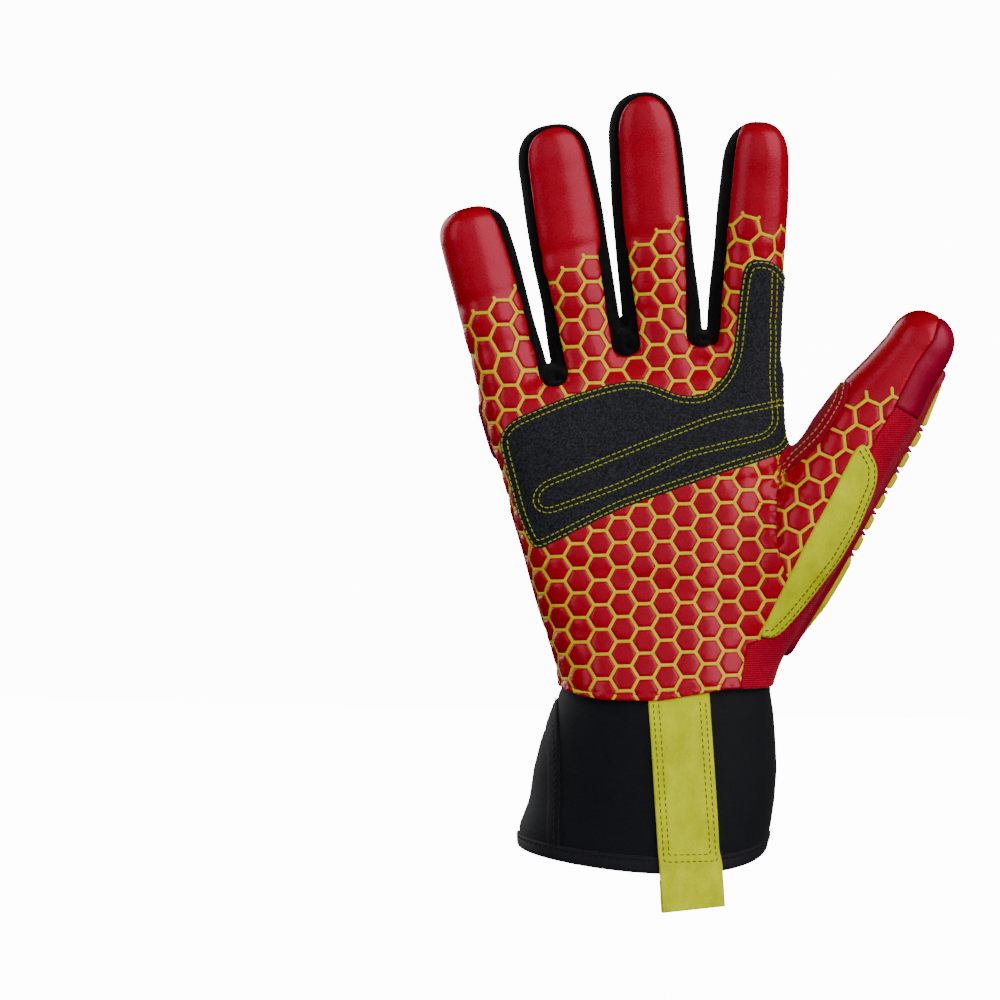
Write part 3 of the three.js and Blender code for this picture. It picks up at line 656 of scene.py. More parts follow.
def border(faces):
    """The edges that only one face has, in that face's own direction."""
    edges = np.concatenate([faces[:, [0, 1]], faces[:, [1, 2]], faces[:, [2, 0]]]).tolist()
    keys = {tuple(edge) for edge in edges}
    return np.array([edge for edge in edges if (edge[1], edge[0]) not in keys])


def shelled(outer, inner, faces):
    """A closed body between an outer and an inner copy of the same sheet."""
    count = len(outer)
    rim = border(faces)
    walls = np.concatenate([
        np.column_stack([rim[:, 1], rim[:, 0], rim[:, 0] + count]),
        np.column_stack([rim[:, 1], rim[:, 0] + count, rim[:, 1] + count]),
    ])
    return np.concatenate([outer, inner]), np.concatenate([faces, faces[:, ::-1] + count, walls])


def quarter_round(depth_inside, roll):
    """Rises from 0 at a panel's edge to 1 where its rolled edge ends."""
    share = np.clip(depth_inside / roll, 0, 1)
    return np.sqrt(np.maximum(1 - (1 - share) ** 2, 0))


def lifted(points, *heights):
    """Points on the plain hand moved out to where the cloth or rubber is, for each set of heights."""
    normals = unit(hand_normal(points))
    plain = points + normals * swell(points)[:, None]
    return [plain + normals * np.reshape(height, (-1, 1)) for height in heights]


# Rounded edges have rows of points at these shares of the edge's roll
EDGE_SHARES = (0.0, 0.12, 0.45, 1.0)
SEAM_DEPTH = 0.5
PANEL_ROLL = 1.2
PATCH_ROLL = 0.7
# The share of a panel's faces that stay when its hidden inside is made of fewer faces
FACES_LEFT = 0.75


def edge_levels(roll, shares=EDGE_SHARES):
    return [share * roll for share in shares]


def thin_lining(panel, first):
    """Fewer faces on the inside of a panel, whose points come last, from the first one named."""
    lining = panel.vertex_groups.new(name="lining")
    lining.add(range(first, len(panel.data.vertices)), 1.0, "REPLACE")
    fewer = panel.modifiers.new("Fewer faces inside", "DECIMATE")
    fewer.ratio = FACES_LEFT
    fewer.vertex_group = lining.name


def sewn_panel(name, nodes, material, field, rise, roll=PANEL_ROLL, low=-SEAM_DEPTH, wall=1.6,
               texture=None):
    """A panel of the hand's surface whose edges roll down into their seam."""
    points, faces = cut_panel(hand_points, hand_faces, field, edge_levels(roll))
    points, depth_inside = points[:, :3], points[:, 3]
    height = low + (rise - low) * quarter_round(depth_inside, roll)
    if texture is not None:
        height = height + texture(points)
    body = shelled(*lifted(points, height, low - wall), faces)
    thin_lining(add_piece(name, nodes, material, body), len(points))


def sewn_patch(name, material, field, lower, thickness):
    """A patch sewn onto the hand, from the height that it lies on up to its own thickness."""
    sewn_panel(name, [name], material, field, lower + thickness, PATCH_ROLL, lower - 0.1, 0.3)


hand_points, hand_faces = surface_net(hand_field, (-78, -30, 44), (112, 32, 266), GRID)
hand_points = settled(hand_points)
hand_faces = triangled(hand_faces)


# Materials

def srgb(red, green, blue):
    """The shader's colour for a colour named by its 0 to 255 screen values."""
    shares = [value / 255 for value in (red, green, blue)]
    return tuple(s / 12.92 if s <= 0.04045 else ((s + 0.055) / 1.055) ** 2.4 for s in shares)


class Finish:
    """A material: one surface shader, with nodes that feed its colour, roughness and bump."""

    def __init__(self, name, color, roughness, **sockets):
        self.made = bpy.data.materials.new(name)
        self.made.use_nodes = True
        self.tree = self.made.node_tree
        self.shader = self.tree.nodes["Principled BSDF"]
        self.place = self.add("ShaderNodeTexCoord").outputs["Object"]
        self.color = (*color, 1)
        self.shader.inputs["Base Color"].default_value = self.color
        self.shader.inputs["Roughness"].default_value = roughness
        for socket, value in sockets.items():
            self.shader.inputs[socket.replace("_", " ")].default_value = value

    def add(self, kind, inputs=(), **settings):
        made = self.tree.nodes.new(kind)
        for setting, value in settings.items():
            setattr(made, setting, value)
        for key, value in dict(inputs).items():
            self.feed(made.inputs[key], value)
        return made

    def feed(self, socket, value):
        if isinstance(value, bpy.types.NodeSocket):
            self.tree.links.new(value, socket)
        else:
            socket.default_value = value

    def stretched(self, x, y, z):
        """The model's own coordinates, with one turn of a pattern every x, y and z millimetres."""
        scale = (1 / (x * MM), 1 / (y * MM), 1 / (z * MM))
        return self.add("ShaderNodeMapping", {"Vector": self.place, "Scale": scale}).outputs[0]

    def noise(self, size, detail=2.0, stretch=(1, 1, 1)):
        vector = self.stretched(*(size * part for part in stretch))
        made = self.add("ShaderNodeTexNoise", {"Vector": vector, "Scale": 1.0, "Detail": detail})
        return made.outputs[0]

    def ribs(self, pitch, axis, bend=0.0):
        """Even ribs across an axis. A pitch is the distance from one rib to the next."""
        vector = self.stretched(pitch, pitch, pitch)
        made = self.add("ShaderNodeTexWave", {"Vector": vector, "Scale": 1 / math.tau * math.pi,
                                              "Distortion": bend, "Detail": 1.0, "Detail Scale": 1.5},
                        bands_direction=axis)
        return made.outputs["Fac"]

    def math(self, operation, a, b):
        return self.add("ShaderNodeMath", {0: a, 1: b}, operation=operation).outputs[0]

    def mixed(self, a, a_share, b, b_share):
        """The sum of two values, each by its share."""
        return self.math("ADD", self.math("MULTIPLY", a, a_share), self.math("MULTIPLY", b, b_share))

    def ramp(self, value, low, high, to_low=0.0, to_high=1.0):
        made = self.add("ShaderNodeMapRange", {"Value": value, "From Min": low, "From Max": high,
                                               "To Min": to_low, "To Max": to_high})
        return made.outputs[0]

    def mottle(self, value, low, high, other, turned=False):
        """The finish's own colour where the value is low, another where it is high, or turned about."""
        made = self.add("ShaderNodeMix", data_type="RGBA")
        first, last = self.color, (*other, 1)
        if turned:
            first, last = last, first
        for key, part in (("Factor", self.ramp(value, low, high)), ("A", first), ("B", last)):
            self.feed(next(s for s in made.inputs if s.name == key and s.enabled), part)
        result = next(s for s in made.outputs if s.enabled)
        self.feed(self.shader.inputs["Base Color"], result)

    def gloss(self, value):
        self.feed(self.shader.inputs["Roughness"], value)

    def bump(self, *layers):
        """Bump from (height, depth in millimetres) layers, one on the other."""
        normal = None
        for height, depth in layers:
            inputs = {"Height": height, "Distance": depth * MM, "Strength": 1.0}
            if normal is not None:
                inputs["Normal"] = normal
            normal = self.add("ShaderNodeBump", inputs).outputs[0]
        self.feed(self.shader.inputs["Normal"], normal)
        return self.made


def leather(name, color, dark, roughness):
    """Glossy coated leather: fine grain, soft wrinkles and a little wear."""
    made = Finish(name, srgb(*color), roughness, Specular_IOR_Level=1.0,
                  Specular_Tint=(1, 0.28, 0.42, 1), Coat_Weight=0.03, Coat_Roughness=0.2)
    made.mottle(made.noise(14.0, 3), 0.3, 0.75, srgb(*dark))
    made.gloss(made.ramp(made.noise(6.0, 2), 0.2, 0.8, roughness - 0.03, roughness + 0.06))
    return made.bump((made.noise(13.0, 1), 0.35), (made.noise(1.3, 3, (1, 1, 0.4)), 0.05),
                     (made.noise(0.45, 2), 0.03))


def rubber(name, color, dark):
    """Moulded rubber: satin, with a faint orange-peel skin."""
    made = Finish(name, srgb(*color), 0.46, Specular_IOR_Level=0.28)
    made.mottle(made.noise(7.0, 3), 0.35, 0.75, srgb(*dark))
    made.gloss(made.ramp(made.noise(1.2, 2), 0.3, 0.7, 0.4, 0.54))
    return made.bump((made.noise(0.5, 2), 0.03), (made.noise(2.5, 2), 0.05))


def suede(name, color, dark):
    """Split leather with a short nap that is brushed into soft light and dark."""
    made = Finish(name, srgb(*color), 0.95, Specular_IOR_Level=0.08, Sheen_Weight=0.08,
                  Sheen_Roughness=0.5)
    nap = made.noise(0.42, 3)
    mottled = made.mixed(made.noise(5.0, 4, (1, 1, 1.6)), 0.6, nap, 0.4)
    made.mottle(mottled, 0.36, 0.66, srgb(*dark), turned=True)
    return made.bump((nap, 0.12), (made.noise(1.6, 2), 0.08))


def pebbled(name, color, light):
    """Napped synthetic leather with a dense pebble."""
    made = Finish(name, srgb(*color), 0.8, Specular_IOR_Level=0.3, Sheen_Weight=0.08,
                  Sheen_Roughness=0.4)
    pebble = made.noise(0.62, 3)
    made.mottle(pebble, 0.4, 0.72, srgb(*light))
    return made.bump((pebble, 0.25), (made.noise(6.0, 2), 0.12))


def knit(name, color, dark, pitch):
    """A knitted face: fine courses along Z, crossed by finer wales, with painted shade where they dip.
    """
    made = Finish(name, srgb(*color), 0.9, Specular_IOR_Level=0.1, Sheen_Weight=0.06,
                  Sheen_Roughness=0.4)
    wale = made.ribs(pitch * 0.8, "X", 0.6)
    across = made.math("ADD", made.math("MULTIPLY", wale, 0.6), 0.4)
    stitch = made.math("MULTIPLY", made.ribs(pitch, "Z", 0.6), across)
    # Painted shade: the colour turns to the dark colour where the courses and wales dip, mixed with
    # random tone.
    groove_shade_and_tone = made.mixed(stitch, 0.8, made.noise(4), 0.4)
    made.mottle(groove_shade_and_tone, 0.1, 0.9, srgb(*dark), turned=True)
    return made.bump((stitch, 0.16), (made.noise(0.4, 2), 0.05))


def smooth_cloth(name, color, dark, roughness=0.7):
    """Closely knitted cloth over foam: almost smooth, with a fine even grain."""
    made = Finish(name, srgb(*color), roughness, Specular_IOR_Level=0.2, Sheen_Weight=0.04,
                  Sheen_Roughness=0.5)
    grain = made.mixed(made.ribs(0.55, "Z", 0.8), 0.4, made.noise(0.5, 2), 0.6)
    made.mottle(grain, 0.25, 0.75, srgb(*dark), turned=True)
    return made.bump((grain, 0.06), (made.noise(9.0, 2), 0.25))


def thread(name, color):
    """Twisted sewing thread."""
    made = Finish(name, srgb(*color), 0.6, Specular_IOR_Level=0.2, Sheen_Weight=0.05)
    return made.bump((made.ribs(0.35, "DIAGONAL"), 0.06))


def silver(name):
    """Reflective tape: a close grid of tiny beads behind a clear face."""
    made = Finish(name, srgb(172, 177, 181), 0.5, Metallic=0.25, Specular_IOR_Level=0.5)
    beads = made.noise(0.32, 2)
    made.mottle(beads, 0.3, 0.7, srgb(128, 133, 139))
    return made.bump((beads, 0.03), (made.noise(8.0, 2), 0.15))


def print_ink(name):
    made = Finish(name, srgb(236, 218, 0), 0.45, Specular_IOR_Level=0.25)
    made.mottle(made.noise(2.2, 3), 0.35, 0.75, srgb(214, 190, 0))
    return made.bump((made.noise(0.6, 2), 0.03))


palm_leather = leather("palm_leather", (184, 4, 34), (172, 3, 30), 0.25)
pad_leather = leather("pad_leather", (184, 4, 34), (174, 3, 31), 0.22)
cap_leather = leather("cap_leather", (160, 8, 46), (148, 6, 40), 0.36)
yellow_ink = print_ink("honeycomb_ink")
black_patch = pebbled("black_patch_leather", (14, 14, 19), (50, 51, 60))
yellow_suede = suede("yellow_suede", (228, 238, 0), (198, 204, 0))
red_suede = suede("red_suede", (178, 8, 46), (140, 4, 34))
# The knits' second colours are painted shade for the dips between courses and wales, with random tone.
red_knit = knit("red_knit", (210, 8, 52), (146, 2, 32), 1.15)
black_knit = knit("black_knit", (20, 19, 22), (8, 8, 9), 0.6)
neoprene = smooth_cloth("neoprene", (18, 18, 24), (13, 13, 18))
binding_tape = smooth_cloth("binding_tape", (30, 30, 37), (21, 21, 26), 0.6)
label_cloth = smooth_cloth("label_cloth", (20, 20, 24), (14, 14, 17), 0.5)
crimson_rubber = rubber("crimson_rubber", (160, 8, 46), (142, 4, 36))
yellow_rubber = rubber("yellow_rubber", (230, 216, 0), (218, 202, 0))
silver_tape = silver("silver_tape")
lime_thread = thread("lime_thread", (196, 204, 30))
cream_thread = thread("cream_thread", (214, 170, 80))
brown_thread = thread("brown_thread", (96, 66, 6))
black_thread = thread("black_thread", (24, 23, 27))
olive_thread = thread("olive_thread", (100, 98, 6))
red_thread = thread("red_thread", (170, 8, 24))
edge_thread = thread("edge_thread", (226, 206, 0))


# Stitches

def chained(links):
    """The keys that link to each other as lists in order. A closed line ends where it starts."""
    lines, seen = [], set()
    loose_ends = [key for key in links if len(links[key]) == 1]
    for start in [*loose_ends, *links]:
        if start in seen:
            continue
        line = [start]
        seen.add(start)
        while ahead := [key for key in links[line[-1]] if key not in seen]:
            line.append(ahead[0])
            seen.add(ahead[0])
        if len(line) > 2 and start in links[line[-1]]:
            line.append(start)
        lines.append(line)
    return lines


def isolines(points, faces, values, level):
    """The lines along which the values cross the level, as lists of points in order."""
    span = values - level
    span = np.where(span == 0, 1e-6, span)
    crossings, links = {}, {}
    for face in faces[(span[faces].min(axis=1) < 0) & (span[faces].max(axis=1) > 0)].tolist():
        ends = []
        for a, b in zip(face, face[1:] + face[:1]):
            if span[a] * span[b] < 0:
                low, high = min(a, b), max(a, b)
                share = span[low] / (span[low] - span[high])
                crossings[low, high] = points[low] * (1 - share) + points[high] * share
                ends.append((low, high))
        for one, other in (ends, ends[::-1]):
            links.setdefault(one, []).append(other)
    return [np.array([crossings[key] for key in line]) for line in chained(links)]


def lines_on_hand(values_at, levels, belongs=None):
    """The lines on the hand, or on the part that belongs, where the values cross each level."""
    points, faces = hand_points, hand_faces
    if belongs is not None:
        points, faces = cut_panel(points, faces, belongs)
        points = points[:, :3]
    values = values_at(points)
    return [line for level in levels for line in isolines(points, faces, values, level)]


def resampled(line, step):
    """Points along a line at an even step, about their own running mean."""
    line = np.asarray(line, float)
    if len(line) > 4:
        inner = (line[:-2] + 2 * line[1:-1] + line[2:]) / 4
        line = np.concatenate([line[:1], inner, line[-1:]])
    lengths = path_lengths(line)
    if lengths[-1] < 2 * step:
        return line[:0]
    return at_lengths(line, lengths, np.arange(step / 2, lengths[-1], step))


STITCH_SIDES = 5
# Along the stitch, its thickness there and how high its middle is
STITCH_RINGS = [(-0.5, 0.35, -0.5), (-0.3, 0.95, 0.35), (0.0, 1.0, 0.6), (0.3, 0.95, 0.35),
                (0.5, 0.35, -0.5)]


def stitch_mesh(middles, along, normals, length, radius):
    """One short bead of thread at each middle: its ends dip into the cloth."""
    across = unit(np.cross(along, normals))
    points = []
    for share, scale, rise in STITCH_RINGS:
        for angle in np.arange(STITCH_SIDES) * math.tau / STITCH_SIDES:
            points.append(middles + along * share * length
                          + across * (math.cos(angle) * radius * scale)
                          + normals * (math.sin(angle) * radius * scale + rise * radius))
    points = np.stack(points, axis=1)
    faces = triangled(grid_faces(len(STITCH_RINGS), STITCH_SIDES, around=True)).tolist()
    last = points.shape[1] - STITCH_SIDES
    for side in range(1, STITCH_SIDES - 1):
        faces += [(0, side + 1, side), (last, last + side, last + side + 1)]
    return points.reshape(-1, 3), copied(faces, len(middles), points.shape[1])


def sewn_lines(name, lines, made, normal_at, lift, pitch=1.95, length=1.6, radius=0.2):
    """Stitches along lines on a surface, joined into one piece."""
    parts = []
    for line in lines:
        middles = resampled(line, pitch)
        if len(middles) < 2:
            continue
        along = unit(np.gradient(middles, axis=0))
        middles, normals = normal_at(middles, lift)
        parts.append(stitch_mesh(middles, along, normals, length, radius))
    add_piece(name, [], made, joined(parts), sharp=80)


def on_hand(points, lift):
    return lifted(points, lift)[0], unit(hand_normal(points))


# Panels: where the hand's surface is leather, knit or black cloth

# How far forward the black cloth reaches on each digit, at its little-finger side and at its thumb
# side, and where across the digit it changes from the one to the other
STRIP_FRONT = named_rows(
    "little_side thumb_side turn",
    ("little", 0.0, 6.3, (3.0, 8.0)),
    ("ring", 6.7, 5.8, (-4.0, 4.0)),
    ("middle", 6.9, 5.7, (-4.0, 4.0)),
    ("index", 8.0, 0.0, (-8.0, -3.0)),
    ("thumb", 0.0, 0.0, (-4.0, 4.0)),
)
STRIP_AT_TIP = 0.88
STRIP_TIP = (0.84, 0.99)
STRIP_BACK = 4.0
STRIP_REACH = 1.5
WEB_STRIP_REACH = 4.0
# Edges of panels meet in corners that are rounded by this much, and where panels only touch by less
SOFT_CORNER = 1.5
CLOSE_CORNER = 0.8
GAP_HEIGHT = 30
LEATHER_EDGE = on_palm([
    (1.06, 1.25), (1.027, 1.14), (0.996, 1.06), (0.937, 0.988), (0.86, 0.856), (0.795, 0.767),
    (0.724, 0.614), (0.633, 0.421), (0.513, 0.254), (0.429, 0.179), (0.357, 0.155), (0.33, 0.0),
    (0.33, -0.3),
])
KNIT_SIDE = LEATHER_EDGE + [(150.0, 0.0), (150.0, 300.0)]
WEB_SEAM = on_palm([
    (0.712, 0.933), (0.698, 0.878), (0.653, 0.812), (0.617, 0.769), (0.554, 0.714), (0.49, 0.668),
])
WEB_FRONT = WEB_SEAM + on_palm([(0.47, 0.7), (0.5, 0.86), (0.6, 0.98)])
# The height of the hem across the palm, and on the back
HEM_FRONT = [(-28, 55.0), (-22, 52.6), (-14, 51.3), (5, 51.1), (20, 53.6), (28, 55.0)]
HEM_BACK = 57.0
# The hem is folded up and sewn, so a shallow groove runs along it
HEM_FOLD = 2.2
HEM_GROOVE = 0.35
HEM_GROOVE_WIDTH = 0.5
PALM_RISE = 0.3
CAP_RISE = 0.25
STRIP_RISE = 0.1


def strip_reach(points):
    """How far forward the black cloth reaches, and 1 where one finger faces the next, 0 elsewhere."""
    nearest = nearest_digit(DIGITS, points)
    reach, share = np.zeros(len(points)), np.zeros(len(points))
    for number, (name, strip) in enumerate(STRIP_FRONT.items()):
        here = nearest == number
        side, along = (value[here] for value in digit_coordinates(name, points))
        low, high = strip["little_side"], strip["thumb_side"]
        depth = low + (high - low) * smoothstep(side, *strip["turn"])
        at_tip = smoothstep(along / DIGITS[name]["length"], *STRIP_TIP)
        reach[here] = depth * (1 - (1 - STRIP_AT_TIP) * at_tip)
        share[here] = np.clip(depth / max(low, high, 1.0), 0, 1)
    return reach, share


def leather_field(points):
    """Above zero on the leather front."""
    x, y, z = points.T
    front = -strip_reach(points)[0] - y
    for crotch in CROTCHES:
        lean = math.radians(crotch["lean"])
        foot = (crotch["x"], crotch["z"])
        top = (foot[0] + GAP_HEIGHT * math.sin(lean), foot[1] + GAP_HEIGHT * math.cos(lean))
        front = smooth_min(front, distance_to_path([foot, top], x, z) - crotch["radius"], SOFT_CORNER)
    front = smooth_min(front, -inside_distance(KNIT_SIDE, x, z), SOFT_CORNER)
    return smooth_min(front, -inside_distance(WEB_FRONT, x, z), SOFT_CORNER)


def strip_field(points):
    """Above zero on the black cloth between the fingers."""
    between = STRIP_BACK * strip_reach(points)[1] - points[:, 1]
    on_finger = STRIP_REACH - np.minimum.reduce([digit_field(name, points) for name in FINGERS])
    for crotch in CROTCHES:
        on_finger = np.maximum(on_finger, WEB_STRIP_REACH - web_field(crotch, points))
    return smooth_min(between, on_finger, SOFT_CORNER)


def hem_height(points):
    """How far each point is above the hand's lower edge, which hangs lower on the palm."""
    x, y, z = points.T
    front = np.interp(x, *np.transpose(HEM_FRONT))
    return z - (front + (HEM_BACK - front) * smoothstep(y, -12, 20))


def hem_groove(points):
    return -HEM_GROOVE * np.exp(-(((hem_height(points) - HEM_FOLD) / HEM_GROOVE_WIDTH) ** 2))


def palm_panel_field(points):
    return smooth_min(leather_field(points), hem_height(points), CLOSE_CORNER)


def strip_panel_field(points):
    return smooth_min(-leather_field(points), strip_field(points), CLOSE_CORNER)


def back_side(points):
    """Above zero behind the leather and the black strips."""
    return smooth_min(-leather_field(points), -strip_field(points), CLOSE_CORNER)


def cap_field(name):
    """Above zero on the back of one fingertip."""
    def field(points):
        _, along = digit_coordinates(name, points)
        past_start = along - DIGITS[name]["cap"] * DIGITS[name]["length"]
        own = STRIP_REACH - digit_field(name, points)
        return np.minimum(smooth_min(past_start, back_side(points), CLOSE_CORNER), own)
    return field


def back_panel_field(points):
    field = smooth_min(back_side(points), hem_height(points), CLOSE_CORNER)
    for name in DIGITS:
        field = smooth_min(field, -cap_field(name)(points), CLOSE_CORNER)
    return field


sewn_panel("palm_panel", ["palm_panel"], palm_leather, palm_panel_field, PALM_RISE,
           texture=hem_groove)
sewn_panel("back_panel", ["back_panel"], red_knit, back_panel_field, 0.0)
sewn_panel("finger_strips",
           ["fourchette_little_ring", "fourchette_ring_middle", "fourchette_middle_index"],
           black_knit, strip_panel_field, STRIP_RISE)
for name in DIGITS:
    sewn_panel(f"tip_cap_{name}", [f"tip_cap_{name}"], cap_leather, cap_field(name),
               CAP_RISE)


# Patches that are sewn onto the hand

PATCH_THICKNESS = 1.0
THUMB_PATCH_THICKNESS = 1.3
WEB_PATCH_DEPTH = 0.3
PATCH_WRAP = 4.0
THUMB_PATCH_WRAP = -1.0
PALM_PATCH = rounded(on_palm([
    (-0.5, 0.773), (-0.463, 0.825), (-0.29, 0.887), (-0.15, 0.926), (-0.035, 0.946), (0.042, 0.93),
    (0.128, 0.898), (0.215, 0.9), (0.281, 0.955), (0.312, 1.02), (0.323, 1.125), (0.34, 1.263),
    (0.364, 1.303), (0.45, 1.3), (0.505, 1.245), (0.56, 1.15), (0.53, 0.85), (0.505, 0.73),
    (0.267, 0.665), (-0.08, 0.56), (-0.34, 0.445), (-0.378, 0.44), (-0.427, 0.53),
]), 5.0)
# The thumb patch's outer edge and the web patch's lower one, which their stitches follow too
THUMB_OUTER = [(0.458, 0.178), (0.513, 0.228), (0.579, 0.3), (0.67, 0.407), (0.739, 0.51),
               (0.798, 0.633), (0.801, 0.693)]
WEB_LOWER = [(0.36, 0.69), (0.45, 0.63), (0.54, 0.62), (0.62, 0.65), (0.7, 0.72), (0.76, 0.8),
             (0.8, 0.88)]
THUMB_PATCH = rounded(on_palm([
    (0.722, 0.737), (0.635, 0.59), (0.555, 0.465), (0.486, 0.341), (0.42, 0.228), (0.395, 0.18),
    *THUMB_OUTER, (0.756, 0.761),
]), 4.0)
WEB_BACK = rounded(on_palm([
    (0.35, 0.86), *WEB_LOWER, (0.8, 0.94), (0.74, 0.98), (0.6, 0.96), (0.45, 0.86),
]), 4.0)
WEB_START = 1.0
# Where the patches' own rows of stitches run: along those two edges, and in the channel inside the
# palm patch that runs up the index finger
WEB_BACK_EDGE = on_palm([(0.35, 0.88), (0.35, 0.7), *WEB_LOWER, (0.8, 0.93)])
THUMB_ROW_EDGE = on_palm([(0.385, 0.17), *THUMB_OUTER, (0.75, 0.775)])
CHANNEL = on_palm([
    (0.5, 0.883), (0.24, 0.831), (-0.02, 0.743), (-0.24, 0.668), (-0.345, 0.632), (-0.372, 0.6),
    (-0.368, 0.567), (-0.33, 0.553), (-0.083, 0.63), (0.153, 0.722), (0.42, 0.777), (0.452, 0.812),
    (0.44, 0.95), (0.448, 1.27),
])


def palm_patch_field(points):
    x, y, z = points.T
    return smooth_min(inside_distance(PALM_PATCH, x, z), PATCH_WRAP - y, SOFT_CORNER)


def thumb_patch_field(points):
    x, y, z = points.T
    return np.minimum(inside_distance(THUMB_PATCH, x, z), THUMB_PATCH_WRAP - y)


def web_back_field(points, start=WEB_START):
    x, y, z = points.T
    return np.minimum(inside_distance(WEB_BACK, x, z), y - start)


def web_patch_field(points):
    thumb_side, _ = digit_coordinates("thumb", points)
    front = np.minimum(inside_distance(WEB_FRONT, points[:, 0], points[:, 2]), -thumb_side)
    return np.maximum(web_back_field(points), front)


sewn_patch("palm_patch", black_patch, palm_patch_field, 0.0, PATCH_THICKNESS)
sewn_patch("thumb_patch", yellow_suede, thumb_patch_field, 0.0, THUMB_PATCH_THICKNESS)
sewn_patch("web_patch", red_suede, web_patch_field, -WEB_PATCH_DEPTH, PATCH_THICKNESS)

HIT_START = 40.0
HIT_ROUNDS = 45
HIT_SHARE = 0.85
# A line misses the hand where it stops this far from it, and ends this far from the hand's middle
MISS = 0.2
MISS_DEPTH = 9.0


def face_hit(x, z, face):
    """Where a line through (x, z), straight from the palm's side or the back's, meets the hand."""
    points = np.column_stack([x, np.full(len(x), face * HIT_START), z])
    for _ in range(HIT_ROUNDS):
        points[:, 1] -= face * HIT_SHARE * hand_field(points)
    lost = (np.abs(hand_field(points)) > MISS) | (points[:, 1] * face < 0)
    points[lost, 1] = face * MISS_DEPTH
    return settled(points, 4)


PATH_STEP = 0.5


def softened(path, blur=9):
    """A path with rounded corners, as closely spaced points."""
    path = np.array(path, float)
    lengths = path_lengths(path)
    even = at_lengths(path, lengths, np.arange(0, lengths[-1], PATH_STEP))
    return np.column_stack([blurred(column, blur) for column in even.T])


def rows_beside(path, offsets):
    """Lines on the hand's front that run beside a path at even distances."""
    middle = softened(path)
    along = unit(np.gradient(middle, axis=0))
    across = np.column_stack([-along[:, 1], along[:, 0]])
    return [face_hit(*(middle + across * offset).T, PALM_FACE) for offset in offsets]


def edge_rows(belongs, edge, insets):
    """Lines on part of the hand, at even distances from an open edge."""
    return lines_on_hand(lambda points: distance_to_path(edge, points[:, 0], points[:, 2]), insets,
                         belongs)


palm_rows = lines_on_hand(palm_patch_field, (1.0, 2.8)) + rows_beside(CHANNEL, (-0.85, 0.85))
thumb_rows = edge_rows(lambda points: thumb_patch_field(points) - 0.5, THUMB_ROW_EDGE, (1.4, 3.3))
web_rows = rows_beside(WEB_SEAM, (-1.2, -2.9))
web_rows += edge_rows(lambda points: web_back_field(points, WEB_START + 0.5), WEB_BACK_EDGE, (1.4, 3.2))
sewn_lines("palm_patch_stitches", palm_rows, lime_thread, on_hand, PATCH_THICKNESS)
sewn_lines("thumb_patch_stitches", thumb_rows, brown_thread, on_hand,
           THUMB_PATCH_THICKNESS)
sewn_lines("web_patch_stitches", web_rows, cream_thread, on_hand,
           PATCH_THICKNESS - WEB_PATCH_DEPTH)

# The leather's edge along the index finger's outer side is bound with yellow thread, between these
# places along the finger
INDEX_BOUND = (-34, 80)
INDEX_SIDE = 5


def index_side_field(points):
    side, along = digit_coordinates("index", points)
    ends = np.minimum(along - INDEX_BOUND[0], INDEX_BOUND[1] - along)
    return np.minimum(np.minimum(side - INDEX_SIDE, ends), 3.0 - digit_field("index", points) / 4)


sewn_lines("index_edge_thread", lines_on_hand(leather_field, [-0.1], index_side_field),
           edge_thread, on_hand, -0.15, pitch=1.3, length=1.5, radius=0.32)


# The printed honeycomb: raised red cells with yellow lines between them

HEX_PITCH = 8.35
HEX_SIDE = HEX_PITCH / math.sqrt(3)
LINE_WIDTH = 1.05
LINE_RISE = 0.1
# How far inside a cell's edge each ring is, and how high
CELL_RINGS = [(0.04, -0.15), (0.22, 0.16), (0.6, 0.3), (1.5, 0.4)]
CELL_TOP = 0.44
CELL_POINTS = 24
CELL_ROUNDING = 0.965
WRAP_MARGIN = 5.0
# The palm's cells stand upright on their flat sides; the thumb's lean along the thumb
PALM_LATTICE = dict(x=7.9, z=59.1, lean=-1.5, stretch=1.0, stub=0.3)
THUMB_LATTICE = dict(x=75.6, z=147.7, lean=24.0, stretch=1.1, stub=0.6)
LATTICE_COLUMNS, LATTICE_ROWS = np.arange(-18, 19), np.arange(-24, 25)
# How high the cells reach on each digit: the height at a place, and how it slopes
CELL_LIMITS = named_rows(
    "x z slope",
    ("little", -47.7, 188.0, 0.6),
    ("ring", -24.5, 198.2, 0.6),
    ("middle", 0.2, 206.7, 0.55),
    ("index", 36.0, 215.0, 0.0),
    ("thumb", 78.0, 156.0, 0.1),
)
# The sheet is pulled a little as it is sewn: where one cell of each finger comes to lie, how many
# degrees the cells there lean to the thumb, and the heights between which the pull sets in
FINGER_CELLS = named_rows(
    "x z turn low high",
    ("little", -47.7, 182.7, 0.0, 158.0, 174.0),
    ("ring", -24.5, 193.0, 0.0, 168.0, 186.0),
    ("middle", 0.2, 201.5, 0.0, 172.0, 190.0),
    ("index", 34.8, 210.6, 18.0, 180.0, 202.0),
)
THUMB_CREASE = [(49.0, 140.0), (47.6, 133.0), (45.2, 122.4), (44.5, 113.6), (44.8, 104.0),
                (48.5, 92.0), (49.0, 40.0)]
CREASE_FOOT = 91.0
# Left of this x and above this height, the hand's right edge is the index finger's
INDEX_EDGE_X, INDEX_EDGE_Z = 53, 142
LEATHER_TOP = 222
FAR = 1e3


def crease_side(x, z):
    """Above zero on the thumb's side of the crease between thumb and palm."""
    places, heights = np.transpose(THUMB_CREASE[::-1])
    return np.where(z > CREASE_FOOT, x - np.interp(z, heights, places), -FAR)


EDGE_STEP = 3.0


def silhouette(points):
    """The least and the greatest x of the points, for each height."""
    heights = np.arange(points[:, 2].min(), points[:, 2].max(), EDGE_STEP)
    rows = [points[np.abs(points[:, 2] - height) < EDGE_STEP, 0] for height in heights]
    return heights, np.array([row.min() for row in rows]), np.array([row.max() for row in rows])


